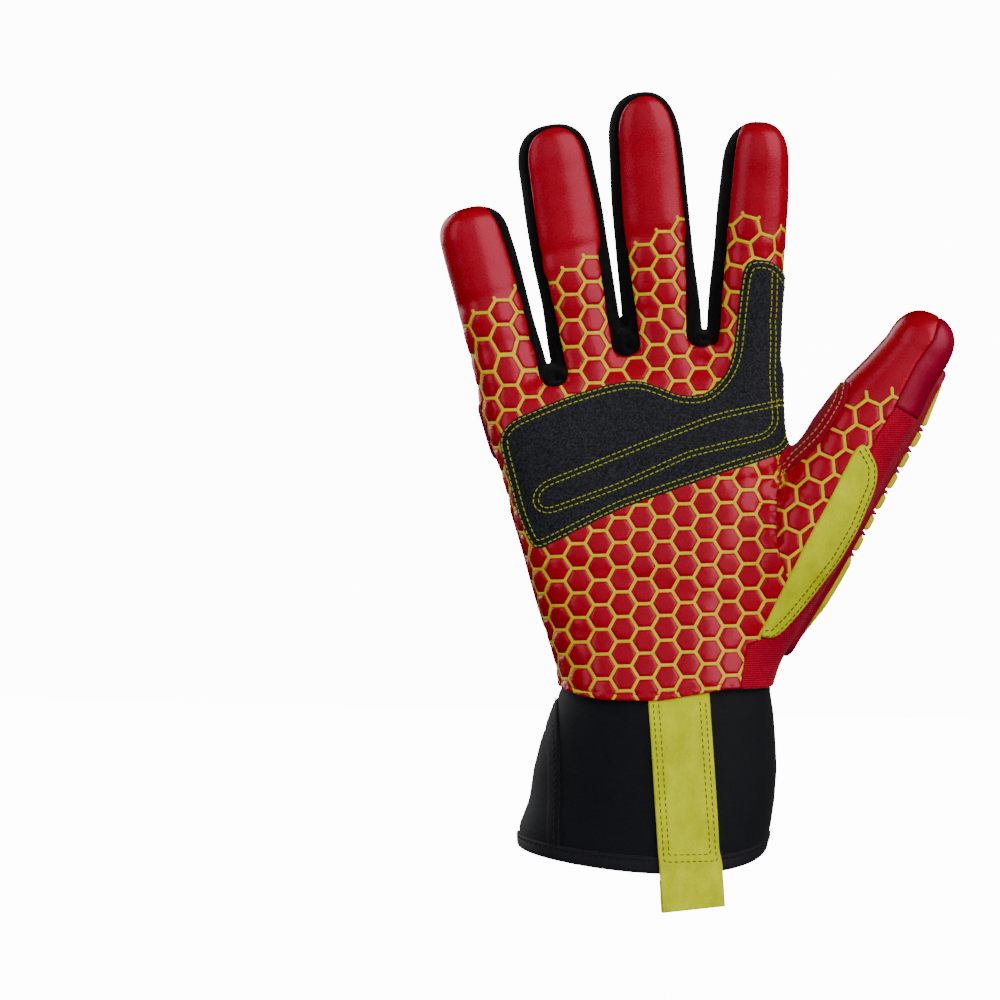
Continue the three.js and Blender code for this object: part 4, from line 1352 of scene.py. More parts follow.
leather_points = hand_points[(hand_points[:, 2] > CUFF_LENGTH) & (hand_points[:, 2] < LEATHER_TOP)]
LEFT_EDGE = silhouette(leather_points)
RIGHT_EDGE = silhouette(leather_points[(leather_points[:, 0] < INDEX_EDGE_X)
                                       & (leather_points[:, 2] > INDEX_EDGE_Z)])


def edges_at(z, below):
    """The least and the greatest x of the hand at a height. below is the greatest below the index."""
    return (np.interp(z, LEFT_EDGE[0], LEFT_EDGE[1]),
            np.interp(z, RIGHT_EDGE[0], RIGHT_EDGE[2], left=below))


WRAP_STEPS = 10
# Places this little past the edge don't bend round it
LEAST_OVER = 0.01
MOST_DRIFT = 0.8


def wrapped(flat, face=PALM_FACE, margin=WRAP_MARGIN):
    """Places on the hand for (x, z) on a flat sheet that bends round the hand's outer sides."""
    x, z = flat.T
    left, right = edges_at(z, FAR)
    inner = np.clip(x, left + margin, np.where(x > INDEX_EDGE_X, FAR, right - margin))
    points = face_hit(inner, z, face)
    over = x - inner
    moving = np.abs(over) > LEAST_OVER
    missed = ~moving & (np.abs(points[:, 0] - inner) > MOST_DRIFT)
    points[missed] = np.column_stack([inner, 0 * inner, z])[missed]
    for _ in range(WRAP_STEPS):
        normal = unit(hand_normal(points[moving])) * -face
        ahead = unit(np.column_stack([-normal[:, 1], normal[:, 0], 0 * normal[:, 0]]))
        points[moving] += ahead * (over[moving] / WRAP_STEPS)[:, None]
        points[moving] = settled(points[moving], 1)
    return points


def all_cells(lattice):
    """The middles of all the lattice's cells, and its two directions."""
    lean = math.radians(lattice["lean"])
    right = np.array([math.cos(lean), -math.sin(lean)])
    up = np.array([math.sin(lean), math.cos(lean)]) * lattice["stretch"]
    grid = np.meshgrid(LATTICE_COLUMNS, LATTICE_ROWS, indexing="ij")
    columns, rows = (part.ravel() for part in grid)
    across = columns * 1.5 * HEX_SIDE
    along = (rows + 0.5 * (columns % 2)) * HEX_PITCH
    anchor = np.array([lattice["x"], lattice["z"]])
    return anchor + across[:, None] * right + along[:, None] * up, right, up


def pulled(flat):
    """The palm's flat sheet as it lies once it is sewn round the fingers."""
    middles = all_cells(PALM_LATTICE)[0]
    nearest = nearest_digit(FINGERS, upright(flat))
    moved = flat.copy()
    for number, name in enumerate(FINGERS):
        place = FINGER_CELLS[name]
        here = nearest == number
        wanted = np.array([place["x"], place["z"]])
        start = middles[np.hypot(*(middles - wanted).T).argmin()]
        share = smoothstep(flat[here, 1], place["low"], place["high"])
        turn = math.radians(place["turn"]) * share
        cos, sin = np.cos(turn), np.sin(turn)
        x, z = (flat[here] - start).T
        turned = np.column_stack([x * cos + z * sin, z * cos - x * sin])
        moved[here] = start + turned + (wanted - start) * share[:, None]
    return moved


def below_limit(x, z):
    """Whether a cell with its middle at (x, z) is below its digit's limit."""
    nearest = nearest_digit(CELL_LIMITS, upright(np.column_stack([x, z])))
    at_x, at_z, slope = np.array([list(place.values()) for place in CELL_LIMITS.values()])[nearest].T
    return z + HEX_PITCH / 2 < at_z + slope * (x - at_x) + 1.0


# How far past the hand's outline cells are still laid, to wrap round its sides
CELLS_PAST = dict(left=18, right=16, below=6)
BELOW_INDEX_X = 80.0
THUMB_CELLS_X, THUMB_CELLS_Z = 95, 160


def palm_cell(x, z):
    left, right = edges_at(z, BELOW_INDEX_X)
    near = (x > left - CELLS_PAST["left"]) & (x < right + CELLS_PAST["right"])
    near &= z > CUFF_LENGTH - CELLS_PAST["below"]
    covered = palm_patch_field(np.column_stack([x, 0 * x - MISS_DEPTH, z])) > HEX_SIDE
    return near & ~covered & below_limit(x, z) & (crease_side(x, z) < HEX_SIDE)


def thumb_cell(x, z):
    near = (x < THUMB_CELLS_X) & (z < THUMB_CELLS_Z)
    return near & (crease_side(x, z) > -HEX_SIDE) & below_limit(x, z)


# How far from each edge the print ends, and how far from the surface it may be
PRINT_INSETS = dict(leather=0.35, hem=0.3, crease=0.15)
PRINT_UNDER = dict(patch=0.6, web=0.4)
PRINT_NEAR, PRINT_STEEP = 0.5, 4


def print_field(points, thumb_part):
    """Above zero where the print shows: inside the leather's edges and off the hem and patches."""
    side = crease_side(points[:, 0], points[:, 2])
    return np.minimum.reduce([
        leather_field(points) - PRINT_INSETS["leather"],
        hem_height(points) - PRINT_INSETS["hem"],
        PRINT_UNDER["patch"] - palm_patch_field(points),
        PRINT_UNDER["patch"] - thumb_patch_field(points),
        PRINT_UNDER["web"] - web_patch_field(points),
        PRINT_STEEP * (PRINT_NEAR - np.abs(hand_field(points))),
        (side if thumb_part else -side) - PRINT_INSETS["crease"],
    ])


def hex_radius(angles, apothem):
    """A flat-sided cell's outline with its corners taken off."""
    turn = (angles + math.pi / 6) % (math.pi / 3) - math.pi / 6
    straight = apothem / np.cos(turn)
    return np.minimum(straight, CELL_ROUNDING * apothem * 2 / math.sqrt(3))


def cell_mesh(middles, right, up, bend):
    """One low cushion for each cell, with its height as a fourth column."""
    angles = np.arange(CELL_POINTS) * math.tau / CELL_POINTS
    flat, heights = [], []
    for inset, height in CELL_RINGS:
        radius = hex_radius(angles + math.pi / 6, HEX_PITCH / 2 - LINE_WIDTH / 2 - inset)
        across, along = radius * np.cos(angles), radius * np.sin(angles)
        flat.append(across[:, None] * right + along[:, None] * up)
        heights += [height] * CELL_POINTS
    template = np.concatenate([*flat, np.zeros((1, 2))])
    heights.append(CELL_TOP)
    faces = triangled(grid_faces(len(CELL_RINGS), CELL_POINTS, around=True)).tolist()
    last = (len(CELL_RINGS) - 1) * CELL_POINTS
    for i in range(CELL_POINTS):
        faces.append((last + i, last + (i + 1) % CELL_POINTS, last + CELL_POINTS))
    flat = (middles[:, None] + template[None]).reshape(-1, 2)
    points = np.column_stack([wrapped(bend(flat)), np.tile(heights, len(middles))])
    return points, copied(faces, len(middles), len(template))


LINE_STEPS = 5
LINE_PROFILE = [(-1.0, -0.1), (-0.6, 0.8), (0.0, 1.0), (0.6, 0.8), (1.0, -0.1)]


def lattice_edges(middles, right, up, stub):
    """Each line of the print once, as its two ends, and the free ends that stick out as stubs."""
    edges, corners = {}, {}
    for middle in middles:
        ring = [middle + HEX_SIDE * (math.cos(a) * right + math.sin(a) * up)
                for a in np.arange(6) * math.pi / 3]
        keys = [tuple(np.round(corner, 1)) for corner in ring]
        for i in range(6):
            j = (i + 1) % 6
            edges[frozenset((keys[i], keys[j]))] = (ring[i], ring[j])
            corners.setdefault(keys[i], []).append((ring[i], ring[i] + (ring[i] - middle) * stub))
    stubs = [around[0] for around in corners.values() if len(around) == 1]
    return list(edges.values()) + stubs


def line_mesh(edges, width, bend):
    """Low rounded strips whose ends fit together at the corners of the cells."""
    starts, ends = (np.array(side) for side in zip(*edges))
    along = unit(ends - starts)
    across = np.column_stack([along[:, 1], -along[:, 0]])
    point = width / 2 / math.sqrt(3)
    flat, heights = [], []
    for step in range(LINE_STEPS + 1):
        middle = starts + (ends - starts) * step / LINE_STEPS
        back = {0: point, LINE_STEPS: -point}.get(step, 0.0)
        for side, rise in LINE_PROFILE:
            flat.append(middle + across * side * width / 2 + along * abs(side) * back)
            heights.append(rise * LINE_RISE)
    flat = np.stack(flat, axis=1)
    faces = triangled(grid_faces(LINE_STEPS + 1, len(LINE_PROFILE)))
    points = np.column_stack([wrapped(bend(flat.reshape(-1, 2))), np.tile(heights, len(edges))])
    return points, copied(faces, len(edges), flat.shape[1])


def printed(points, faces, thumb_part):
    """The part of a printed mesh that shows, raised onto the leather."""
    points, faces = cut_panel(points, faces, lambda p: print_field(p, thumb_part))
    base, height = points[:, :3], points[:, 3]
    rolled = quarter_round(palm_panel_field(base), PANEL_ROLL)
    leather_height = -SEAM_DEPTH + (PALM_RISE + SEAM_DEPTH) * rolled + hem_groove(base)
    return lifted(base, leather_height + height)[0], faces


cell_parts, line_parts = [], []
for lattice, belongs, bend, thumb_part in (
        (PALM_LATTICE, palm_cell, pulled, False), (THUMB_LATTICE, thumb_cell, np.copy, True)):
    middles, right, up = all_cells(lattice)
    middles = middles[belongs(*bend(middles).T)]
    edges = lattice_edges(middles, right, up, lattice["stub"])
    cell_parts.append(printed(*cell_mesh(middles, right, up, bend), thumb_part))
    line_parts.append(printed(*line_mesh(edges, LINE_WIDTH, bend), thumb_part))
add_piece("honeycomb_cells", [], pad_leather, joined(cell_parts), sharp=70)
add_piece("honeycomb_lines", [], yellow_ink, joined(line_parts), sharp=70)


# The moulded rubber guards

PAD_STEP = 0.9
WALL_SHARPNESS = 0.6
# How far the underside of a block is below its foot, and how narrow the ends of a rib are
SUNK = 0.2
LEAST_TAPER = 0.15
BLOCK_EDGE_SHARES = (0, 0.1, 0.4, 1)
# Rows across a rib: how far out, and how high
RIDGE_SECTION = [(-1.0, 0.0), (-0.86, 0.55), (-0.5, 0.92), (0.0, 1.0), (0.5, 0.92), (0.86, 0.55),
                 (1.0, 0.0)]
POINTED_SECTION = [(-1.0, 0.0), (-0.6, 0.42), (-0.25, 0.86), (0.0, 1.0), (0.25, 0.86), (0.6, 0.42),
                   (1.0, 0.0)]


def facing(points, faces, normals):
    """The faces, turned so that they look the way of the normals."""
    a, b, c = (points[faces[:, i]] for i in range(3))
    looks = (np.cross(b - a, c - a) * normals[faces[:, 0]]).sum()
    return faces if looks > 0 else faces[:, ::-1]


def flat_sheet(low, high, step):
    """A flat grid of points between two corners, and its triangles."""
    axes = [np.arange(*ends, step) for ends in zip(low, high)]
    grid = np.stack(np.meshgrid(*axes), -1)
    return upright(grid.reshape(-1, 2)), triangled(grid_faces(*grid.shape[:2]))


def moulded(outline, place, low, high, roll=0.8, holes=(), shape=None, step=PAD_STEP):
    """A moulded block over a flat outline, laid on the hand: steep sides and a rounded top edge."""
    outline = np.array(outline, float)

    def field(at):
        rims = [inside_distance(outline, at[:, 0], at[:, 2])]
        rims += [-inside_distance(hole, at[:, 0], at[:, 2]) for hole in holes]
        return np.minimum.reduce(rims)
    sheet = flat_sheet(outline.min(axis=0) - step, outline.max(axis=0) + 2 * step, step)
    points, faces = cut_panel(*sheet, field, edge_levels(roll, BLOCK_EDGE_SHARES))
    flat = points[:, [0, 2]]
    base = place(flat)
    rise = quarter_round(points[:, 3], roll) ** WALL_SHARPNESS
    height = low + (high - low) * rise
    if shape is not None:
        height = height + shape(flat) * rise
    return shelled(*lifted(base, height, low - SUNK), facing(base, faces, hand_normal(base)))


def even_path(path, step, closed):
    path = np.array(path, float)
    if closed:
        path = np.concatenate([path, path[:1]])
    lengths = path_lengths(path)
    count = max(4, round(lengths[-1] / step))
    return at_lengths(path, lengths, np.linspace(0, lengths[-1], count + 1)[:-1 if closed else None])


def around_loop(line):
    """The way across each point of a closed line."""
    along = unit(np.roll(line, -1, axis=0) - np.roll(line, 1, axis=0))
    return np.column_stack([-along[:, 1], along[:, 0]])


def ridge(path, place, width, low, high, closed=False, section=RIDGE_SECTION, step=0.9):
    """A rounded rib along a flat path, laid on the hand."""
    line = even_path(path, step, closed)
    if closed:
        across = around_loop(line)
        taper = np.ones(len(line))
    else:
        along = unit(np.gradient(line, axis=0))
        across = np.column_stack([-along[:, 1], along[:, 0]])
        from_end = np.minimum(np.arange(len(line)), np.arange(len(line))[::-1]) * step
        taper = np.maximum(quarter_round(from_end, width / 2), LEAST_TAPER)
    flat = [line + across * (side * width / 2 * taper)[:, None] for side, _ in section]
    rise = [share * taper for _, share in section]
    base = place(np.stack(flat, axis=1).reshape(-1, 2))
    points = lifted(base, low + (high - low) * np.stack(rise, axis=1).ravel())[0]
    rows = len(line) + 1 if closed else len(line)
    faces = triangled(grid_faces(rows, len(section))) % len(points)
    return points, facing(base, faces, hand_normal(base))


RIM_STEP = 0.6


def inset(outline, by):
    """The outline of evenly spaced points that lies inside a flat outline."""
    outline = np.array(outline, float)
    line = even_path(outline, RIM_STEP, True)
    across = around_loop(line) * by
    inner = inside_distance(outline, *(line + across).T).mean() > 0
    moved = line + across if inner else line - across
    return moved[inside_distance(outline, *moved.T) > by * 0.9]


# The back of the hand

GUARD_BASE = 1.5
PAD_TOP = 4.7
# Blocks start a little under the top of the base, and ribs a little less
BLOCK_FOOT = GUARD_BASE - 0.2
RIB_FOOT = GUARD_BASE - 0.1
GUARD_START, GUARD_LENGTH, GUARD_WIDTH = 10, 59, 57
GUARD_FLARE, GUARD_EDGE, GUARD_SLANT, GUARD_CURVE = 0.3, 29, 1, 0.22
BACK_MARGIN = 7.0


def guard_point(s, t):
    """A place on the back from its shares up the guard and across it."""
    width = GUARD_WIDTH * (1 + GUARD_FLARE * s)
    around = t + GUARD_CURVE * (t * t - t)
    return (GUARD_EDGE + s * GUARD_SLANT - width * around, CUFF_LENGTH + GUARD_START + s * GUARD_LENGTH)


def guard_line(places):
    return [guard_point(*place) for place in places]


def on_guard(places, radius):
    return rounded(guard_line(places), radius)


def back_place(flat):
    return wrapped(flat, BACK_FACE, BACK_MARGIN)


GUARD_OUTLINE = on_guard([
    (0.0, 0.0), (1.0, 0.0), (0.935, 0.64), (0.93, 0.98), (0.95, 1.05), (0.2, 1.05), (0.24, 0.8),
    (0.1, 0.3),
], 2.5)
GUARD_WINDOW = on_guard([
    (0.46, 0.63), (0.51, 0.58), (0.72, 0.59), (0.74, 0.66), (0.64, 0.69), (0.52, 0.67),
], 0.8)
GUARD_PADS = [
    [(0.24, 0.66), (0.05, 0.03), (0.42, 0.03), (0.42, 0.2), (0.28, 0.47)],
    [(0.31, 0.56), (0.43, 0.3), (0.5, 0.5), (0.42, 0.62)],
    [(0.53, 0.54), (0.46, 0.29), (0.51, 0.29), (0.62, 0.35), (0.78, 0.31), (0.69, 0.55)],
    [(0.78, 0.65), (0.73, 0.55), (0.82, 0.36), (0.9, 0.61)],
    [(0.48, 0.2), (0.48, 0.03), (0.72, 0.04), (0.71, 0.25), (0.64, 0.3)],
    [(0.92, 0.5), (0.86, 0.29), (0.78, 0.26), (0.77, 0.04), (0.96, 0.04)],
]
# Each bar's and side block's two ends up the guard, and where the bar's pointed inner end is across it
GUARD_BARS = [(0.29, 0.4, 0.71), (0.415, 0.525, 0.69), (0.54, 0.665, 0.7), (0.68, 0.805, 0.71),
              (0.82, 0.92, 0.67)]
BAR_OUTER, BAR_POINT, BAR_FALL = 0.87, 0.04, 1.2
SIDE_BLOCKS = [(0.26, 0.4), (0.45, 0.6), (0.64, 0.76), (0.8, 0.91)]
SIDE_INNER, SIDE_OUTER = 0.9, 1.0
# The raised rim: its width and rise, how far in from the edge it is, and how it goes round a hole
BORDER_WIDTH = 1.7
BORDER_RISE = 0.75
BORDER_INSET = 0.3
HOLE_FOOT, HOLE_FALL = 0.6, 0.2


def bordered(outline, place, holes=()):
    """A thin base with a raised rim round its outside and round each hole."""
    parts = [moulded(outline, place, -0.2, GUARD_BASE, 0.6, holes)]
    top = GUARD_BASE + BORDER_RISE
    rim = inset(outline, BORDER_WIDTH / 2 + BORDER_INSET)
    parts.append(ridge(rim, place, BORDER_WIDTH, RIB_FOOT, top, closed=True))
    for hole in holes:
        edge = even_path(hole, RIM_STEP, True)
        parts.append(ridge(edge, place, BORDER_WIDTH, GUARD_BASE - HOLE_FOOT, top - HOLE_FALL,
                           closed=True))
    return parts


def guard_box(low, high, left, right):
    """A block's four corners on the guard."""
    return [(low, left), (low, right), (high, right), (high, left)]


def bar_outline(low, high, inner):
    return [(low, inner + BAR_POINT), (low, BAR_OUTER), (high, BAR_OUTER), (high, inner + BAR_POINT),
            ((low + high) / 2, inner)]


def bar_slope(flat):
    """Bars fall away a little towards their inner ends, as chamfered blocks do."""
    return -BAR_FALL * smoothstep(flat[:, 0], guard_point(0.6, 0.8)[0], guard_point(0.6, 0.68)[0])


def back_block(places, corner, roll, **options):
    return moulded(on_guard(places, corner), back_place, BLOCK_FOOT, PAD_TOP, roll, **options)


add_piece("hand_guard", ["hand_guard"], crimson_rubber,
          joined(bordered(GUARD_OUTLINE, back_place, (GUARD_WINDOW,))))
hand_pads = [back_block(outline, 1.2, 0.9) for outline in GUARD_PADS]
hand_pads += [back_block(bar_outline(*bar), 0.7, 1.0, shape=bar_slope) for bar in GUARD_BARS]
hand_pads += [back_block(guard_box(low, high, SIDE_INNER, SIDE_OUTER), 1.0, 1.2)
              for low, high in SIDE_BLOCKS]
PAD_NODES = ["pad_wrist", "pad_inner", "pad_middle", "pad_point", "pad_thumb", "pad_knuckle"]
PAD_NODES += [f"bar_{i + 1}" for i in range(len(GUARD_BARS))]
PAD_NODES += [f"side_block_{i + 1}" for i in range(len(SIDE_BLOCKS))]
add_piece("hand_pads", PAD_NODES, yellow_rubber, joined(hand_pads))

# The knuckle guard: a ribbed crimson plate with a row of raised yellow bars

KNUCKLE_OUTLINE = on_guard([
    (1.21, 1.06), (1.12, 0.8), (1.14, 0.3), (1.38, 0.06), (1.62, 0.24), (1.655, 0.9), (1.52, 1.06),
], 3.0)
KNUCKLE_BARS = 5
KNUCKLE_LOW, KNUCKLE_HIGH, KNUCKLE_FIRST, KNUCKLE_LAST, KNUCKLE_FILLED = 1.25, 1.5, 0.22, 1.05, 0.8
# How far up the guard each rib is, and where across it the rib starts
KNUCKLE_RIBS = [(1.2, 0.3), (1.255, 0.22), (1.31, 0.16), (1.365, 0.12), (1.42, 0.12), (1.475, 0.16),
                (1.53, 0.2)]
KNUCKLE_RIB_END, KNUCKLE_RIB_WIDTH, KNUCKLE_RIB_RISE = 0.97, 1.2, 0.5
# The thin rib above them, towards the fingers
TOP_RIB, TOP_RIB_WIDTH, TOP_RIB_RISE = [(1.59, 0.3), (1.6, 0.94)], 1.0, 0.45
# Three low blocks along the guard's lower edge: their ends across it, and how far up it they reach
KNUCKLE_BLOCKS = [(0.42, 0.56), (0.62, 0.76), (0.82, 0.94)]
KNUCKLE_BLOCK_LOW, KNUCKLE_BLOCK_HIGH, KNUCKLE_BLOCK_RISE = 1.17, 1.215, 1.1

knuckle_parts = bordered(KNUCKLE_OUTLINE, back_place)
for s, first in KNUCKLE_RIBS:
    rib = guard_line([(s, first), (s, KNUCKLE_RIB_END)])
    knuckle_parts.append(ridge(rib, back_place, KNUCKLE_RIB_WIDTH, RIB_FOOT,
                               GUARD_BASE + KNUCKLE_RIB_RISE))
knuckle_parts.append(ridge(guard_line(TOP_RIB), back_place, TOP_RIB_WIDTH, RIB_FOOT,
                           GUARD_BASE + TOP_RIB_RISE))
for left, right in KNUCKLE_BLOCKS:
    block = on_guard(guard_box(KNUCKLE_BLOCK_LOW, KNUCKLE_BLOCK_HIGH, left, right), 0.4)
    knuckle_parts.append(moulded(block, back_place, RIB_FOOT, GUARD_BASE + KNUCKLE_BLOCK_RISE, 0.4))
add_piece("knuckle_guard", ["knuckle_guard"], crimson_rubber, joined(knuckle_parts))

knuckle_pads = []
pitch = (KNUCKLE_LAST - KNUCKLE_FIRST) / KNUCKLE_BARS
for number in range(KNUCKLE_BARS):
    left = KNUCKLE_FIRST + number * pitch
    right = min(left + pitch * KNUCKLE_FILLED, 1.0)
    knuckle_pads.append(back_block(guard_box(KNUCKLE_LOW, KNUCKLE_HIGH, left, right), 1.6, 1.3))
add_piece("knuckle_bars", [f"knuckle_bar_{i + 1}" for i in range(KNUCKLE_BARS)],
          yellow_rubber, joined(knuckle_pads))

# The guards along the fingers and the thumb. across runs over the digit, along runs to its tip.

STRIP_WIDTH, BLOCK_WIDTH = 14.3, 11.0
THUMB_TURN = 16
# Where the guards' places start out from the digit, and how they are brought down to it
DROP_START, DROP_ROUNDS, DROP_SHARE = 26, 30, 0.9
# Where each guard starts, as a share of the digit's length, and its number of blocks
GUARDS = named_rows("start blocks", ("little", 0.0, 3), ("ring", 0.04, 5), ("middle", 0.08, 6),
                    ("index", 0.08, 5), ("thumb", 0.08, 6))
# margin: from the guard's start to its first pad. pad: that pad's length. first: from the pad's end to
# the first block. pitch and length: of the blocks. bow: how far their edges bow towards the tip.
# lower: how much lower they are than the pads. dip, shoulder, point, corner and drop: the pad at the
# tip. rib: from the pad's end to the first rib. end and base_end: shares of the digit's length.
BLOCKS = named_rows(
    "margin pad first pitch length bow lower dip shoulder point corner drop rib end base_end",
    ("finger", 1.5, 23.0, 2.0, 6.9, 4.9, 0.9, 0.1, 0.8, 6, (1.8, 1.5), 1.2, 0.0, 0.9, 0.93, 0.97),
    ("thumb", 6.8, 38.0, -2.6, 8.05, 5.9, 1.6, 0.0, 1.4, 8, (2.0, 2), 1.4, 1.3, -4.0, 0.88, 0.9),
)


# The ribs in those gaps. side: how far a rib's ends are from the base's edge. fall: how far its top is
# below the pads'. A finger's first gaps hold a pair of ribs, and its others one.
RIBS = named_rows("side bow width fall section", ("thumb", 1.2, 1.6, 2.3, 0.4, POINTED_SECTION),
                  ("pair", 1.3, 0.9, 1.15, 1.4, RIDGE_SECTION),
                  ("single", 1.3, 0.9, 1.9, 1.1, RIDGE_SECTION))
RIB_SHIFTS = dict(thumb=(0.0,), pair=(-0.55, 0.75), single=(0.1,))
PAIRED_GAPS = 3
RIB_STEP = 0.7


def digit_place(name):
    """Lays (across, along) on a digit from the side that its guard faces."""
    root, along, side = digit_frame(name)
    out = np.array([0.0, 1.0, 0.0])
    if name == "thumb":
        turn = math.radians(THUMB_TURN)
        out = side * math.cos(turn) + out * math.sin(turn)
    across = np.cross(along, out)

    def place(flat):
        points = root + flat[:, :1] * across + flat[:, 1:2] * along + out * DROP_START
        for _ in range(DROP_ROUNDS):
            points -= out * (DROP_SHARE * hand_field(points))[:, None]
        return settled(points, 2)
    return place


def both_sides(half):
    """The outline that one half's points, in order, and their mirror images make."""
    return half + [(-x, z) for x, z in half[::-1] if x]


def rib_line(at, half, bow):
    """A line across a digit that bows towards the tip."""
    return [(half * end, at + bow * (1 - end * end)) for end in np.linspace(-1, 1, 9)]


def rounded_foot(start, half, end):
    """An outline's half-round lower end, and its two sides up to an end."""
    turns = np.linspace(math.pi, math.tau, 13)
    foot = [(half * math.cos(turn), start + half * (1 + math.sin(turn))) for turn in turns]
    return foot + [(half, end)], [(-half, end)]


def finger_pad(start, end, half, place):
    """The long first pad of a finger, with an eye through it and a wedge carved into it."""
    right, left = rounded_foot(start, half, end)
    turns = np.arange(20) * math.tau / 20
    eye = np.column_stack([1.9 * np.cos(turns), start + 6.0 + 2.5 * np.sin(turns)])
    wedge = both_sides([(2.3, start + 3.6), (2.9, start + 7.0), (0.5, start + 19.0)])
    wedge = np.array(rounded(wedge, 1.0, 3))

    def carved(flat):
        share = np.clip((start + 20.0 - flat[:, 1]) / 14.0, 0, 1)
        return -2.0 * share * smoothstep(inside_distance(wedge, *flat.T), -0.1, 0.45)
    return moulded(right + [(0, end + 0.9)] + left, place, BLOCK_FOOT, PAD_TOP, 1.1, (eye,), carved,
                   step=0.55)


def thumb_pad(start, end, half, place):
    """The thumb's forked first pad, with a slot through it."""
    fork = both_sides([(1.2, start), (half, start + 15), (half, end - 6), (0, end)])
    slot = rounded(both_sides([(0, start + 9), (1.5, start + 26), (0, start + 29)]), 0.5, 3)
    return moulded(rounded(fork, 1.0, 4), place, BLOCK_FOOT, PAD_TOP, 1.2, (slot,), step=0.8)


def digit_blocks(name, place):
    """The yellow pads and blocks along a digit, and where the ribs between them are."""
    length, guard = DIGITS[name]["length"], GUARDS[name]
    sizes = BLOCKS["thumb" if name == "thumb" else "finger"]
    half = BLOCK_WIDTH / 2
    start = guard["start"] * length + sizes["margin"]
    pad_end = start + sizes["pad"]
    parts = [(thumb_pad if name == "thumb" else finger_pad)(start, pad_end, half, place)]
    for number in range(guard["blocks"]):
        low = pad_end + sizes["first"] + number * sizes["pitch"]
        block = rib_line(low, half, sizes["bow"])
        block += rib_line(low + sizes["length"], half, sizes["bow"])[::-1]
        parts.append(moulded(rounded(block, 0.5, 3), place, BLOCK_FOOT, PAD_TOP - sizes["lower"], 1.3))
    tip, end = pad_end + sizes["first"] + guard["blocks"] * sizes["pitch"], sizes["end"] * length
    inward, back = sizes["point"]
    outline = both_sides([(0, tip + sizes["dip"]), (half, tip), (half - 0.3, end - sizes["shoulder"]),
                          (half - inward, end - back), (0, end)])

    def falling(flat):
        return -sizes["drop"] * np.clip((flat[:, 1] - tip) / (end - tip), 0, 1)
    parts.append(moulded(rounded(outline, sizes["corner"], 4), place, BLOCK_FOOT, PAD_TOP, 1.9,
                         shape=falling))
    ribs = [pad_end + sizes["rib"] + number * sizes["pitch"] for number in range(guard["blocks"] + 1)]
    return parts, ribs


def guard_base(name, place, ribs):
    """The crimson base under a digit's blocks, with a rib, or a pair of them, in each gap."""
    length, half = DIGITS[name]["length"], STRIP_WIDTH / 2
    end = BLOCKS["thumb" if name == "thumb" else "finger"]["base_end"] * length
    right, left = rounded_foot(GUARDS[name]["start"] * length - 0.6, half, end - 6)
    tip = [(half - 2.4, end - 1.6), (0, end), (-half + 2.4, end - 1.6)]
    parts = bordered(right + tip + left, place)
    for number, at in enumerate(ribs):
        kind = "thumb" if name == "thumb" else "pair" if number < PAIRED_GAPS else "single"
        rib = RIBS[kind]
        for shift in RIB_SHIFTS[kind]:
            line = rib_line(at + shift, half - rib["side"], rib["bow"])
            parts.append(ridge(line, place, rib["width"], RIB_FOOT, PAD_TOP - rib["fall"],
                               section=rib["section"], step=RIB_STEP))
    return parts


for name in DIGITS:
    place = digit_place(name)
    blocks, ribs = digit_blocks(name, place)
    add_piece(f"blocks_{name}", [f"blocks_{name}"], yellow_rubber, joined(blocks))
    add_piece(f"guard_{name}", [f"guard_{name}"], crimson_rubber,
              joined(guard_base(name, place, ribs)))


# The cuff: a neoprene sleeve with a bound mouth

# up, left and right, and half the thickness, as shares of the cuff's length, width and depth, then how
# much higher the row is at the front and at the back
CUFF_ROWS = [
    (0.0, -0.487, 0.49, 0.5, -8.0, -3.0),
    (0.05, -0.487, 0.49, 0.5, -8.0, -3.0),
    (0.15, -0.49, 0.511, 0.5, -6.0, -2.0),
    (0.33, -0.452, 0.53, 0.483, -4.0, 0.0),
    (0.52, -0.435, 0.54, 0.466, -3.0, 1.0),
    (0.72, -0.399, 0.533, 0.448, -2.0, 3.0),
    (0.9, -0.352, 0.524, 0.431, -2.0, 5.0),
    (1.02, -0.32, 0.512, 0.39, -2.0, 5.0),
    (1.12, -0.315, 0.507, 0.375, -1.0, 4.0),
]
CUFF_TABLE = smooth_table(CUFF_ROWS)
CUFF_WALL = 3.0
MOUTH = 0.05
CUFF_TOP = 1.1
CUFF_FOLDS = 0.55
FOLD_SIZE = 14
# The mouth hangs lower on the palm's thumb side than on its little-finger side
MOUTH_SKEW = 0.35
TURNS = 176
CUFF_STEP = 0.022


def cuff_row(up):
    left, right, deep, front, back = read_table(CUFF_TABLE, up)
    return left * CUFF_WIDTH, right * CUFF_WIDTH, deep * CUFF_DEPTH, front, back


def on_cuff(turn, up, lift):
    """A place on the cuff, at a turn about it from the thumb side, through the back, and outwards."""
    left, right, deep, front, back = cuff_row(up)
    across, rear = np.cos(turn), np.sin(turn)
    x = (left + right) / 2 + across * ((right - left) / 2 + lift)
    z = up * CUFF_LENGTH + np.where(rear < 0, -rear * front * (1 + MOUTH_SKEW * across), rear * back)
    flat = np.column_stack([np.ravel(x), np.ravel(rear * deep), np.ravel(z)])
    folds = CUFF_FOLDS * soft_noise(flat * (1, 1, 0.6), FOLD_SIZE).reshape(np.shape(x))
    folds = folds * smoothstep(up, MOUTH, MOUTH + 0.25)
    return np.stack([x + across * folds, rear * (deep + lift + folds), z], axis=-1)


def cuff_turn(x, up, face):
    """The turn at which the cuff's palm or back face passes over x."""
    left, right = cuff_row(up)[:2]
    return face * np.arccos(np.clip((x - (left + right) / 2) / ((right - left) / 2), -1, 1))


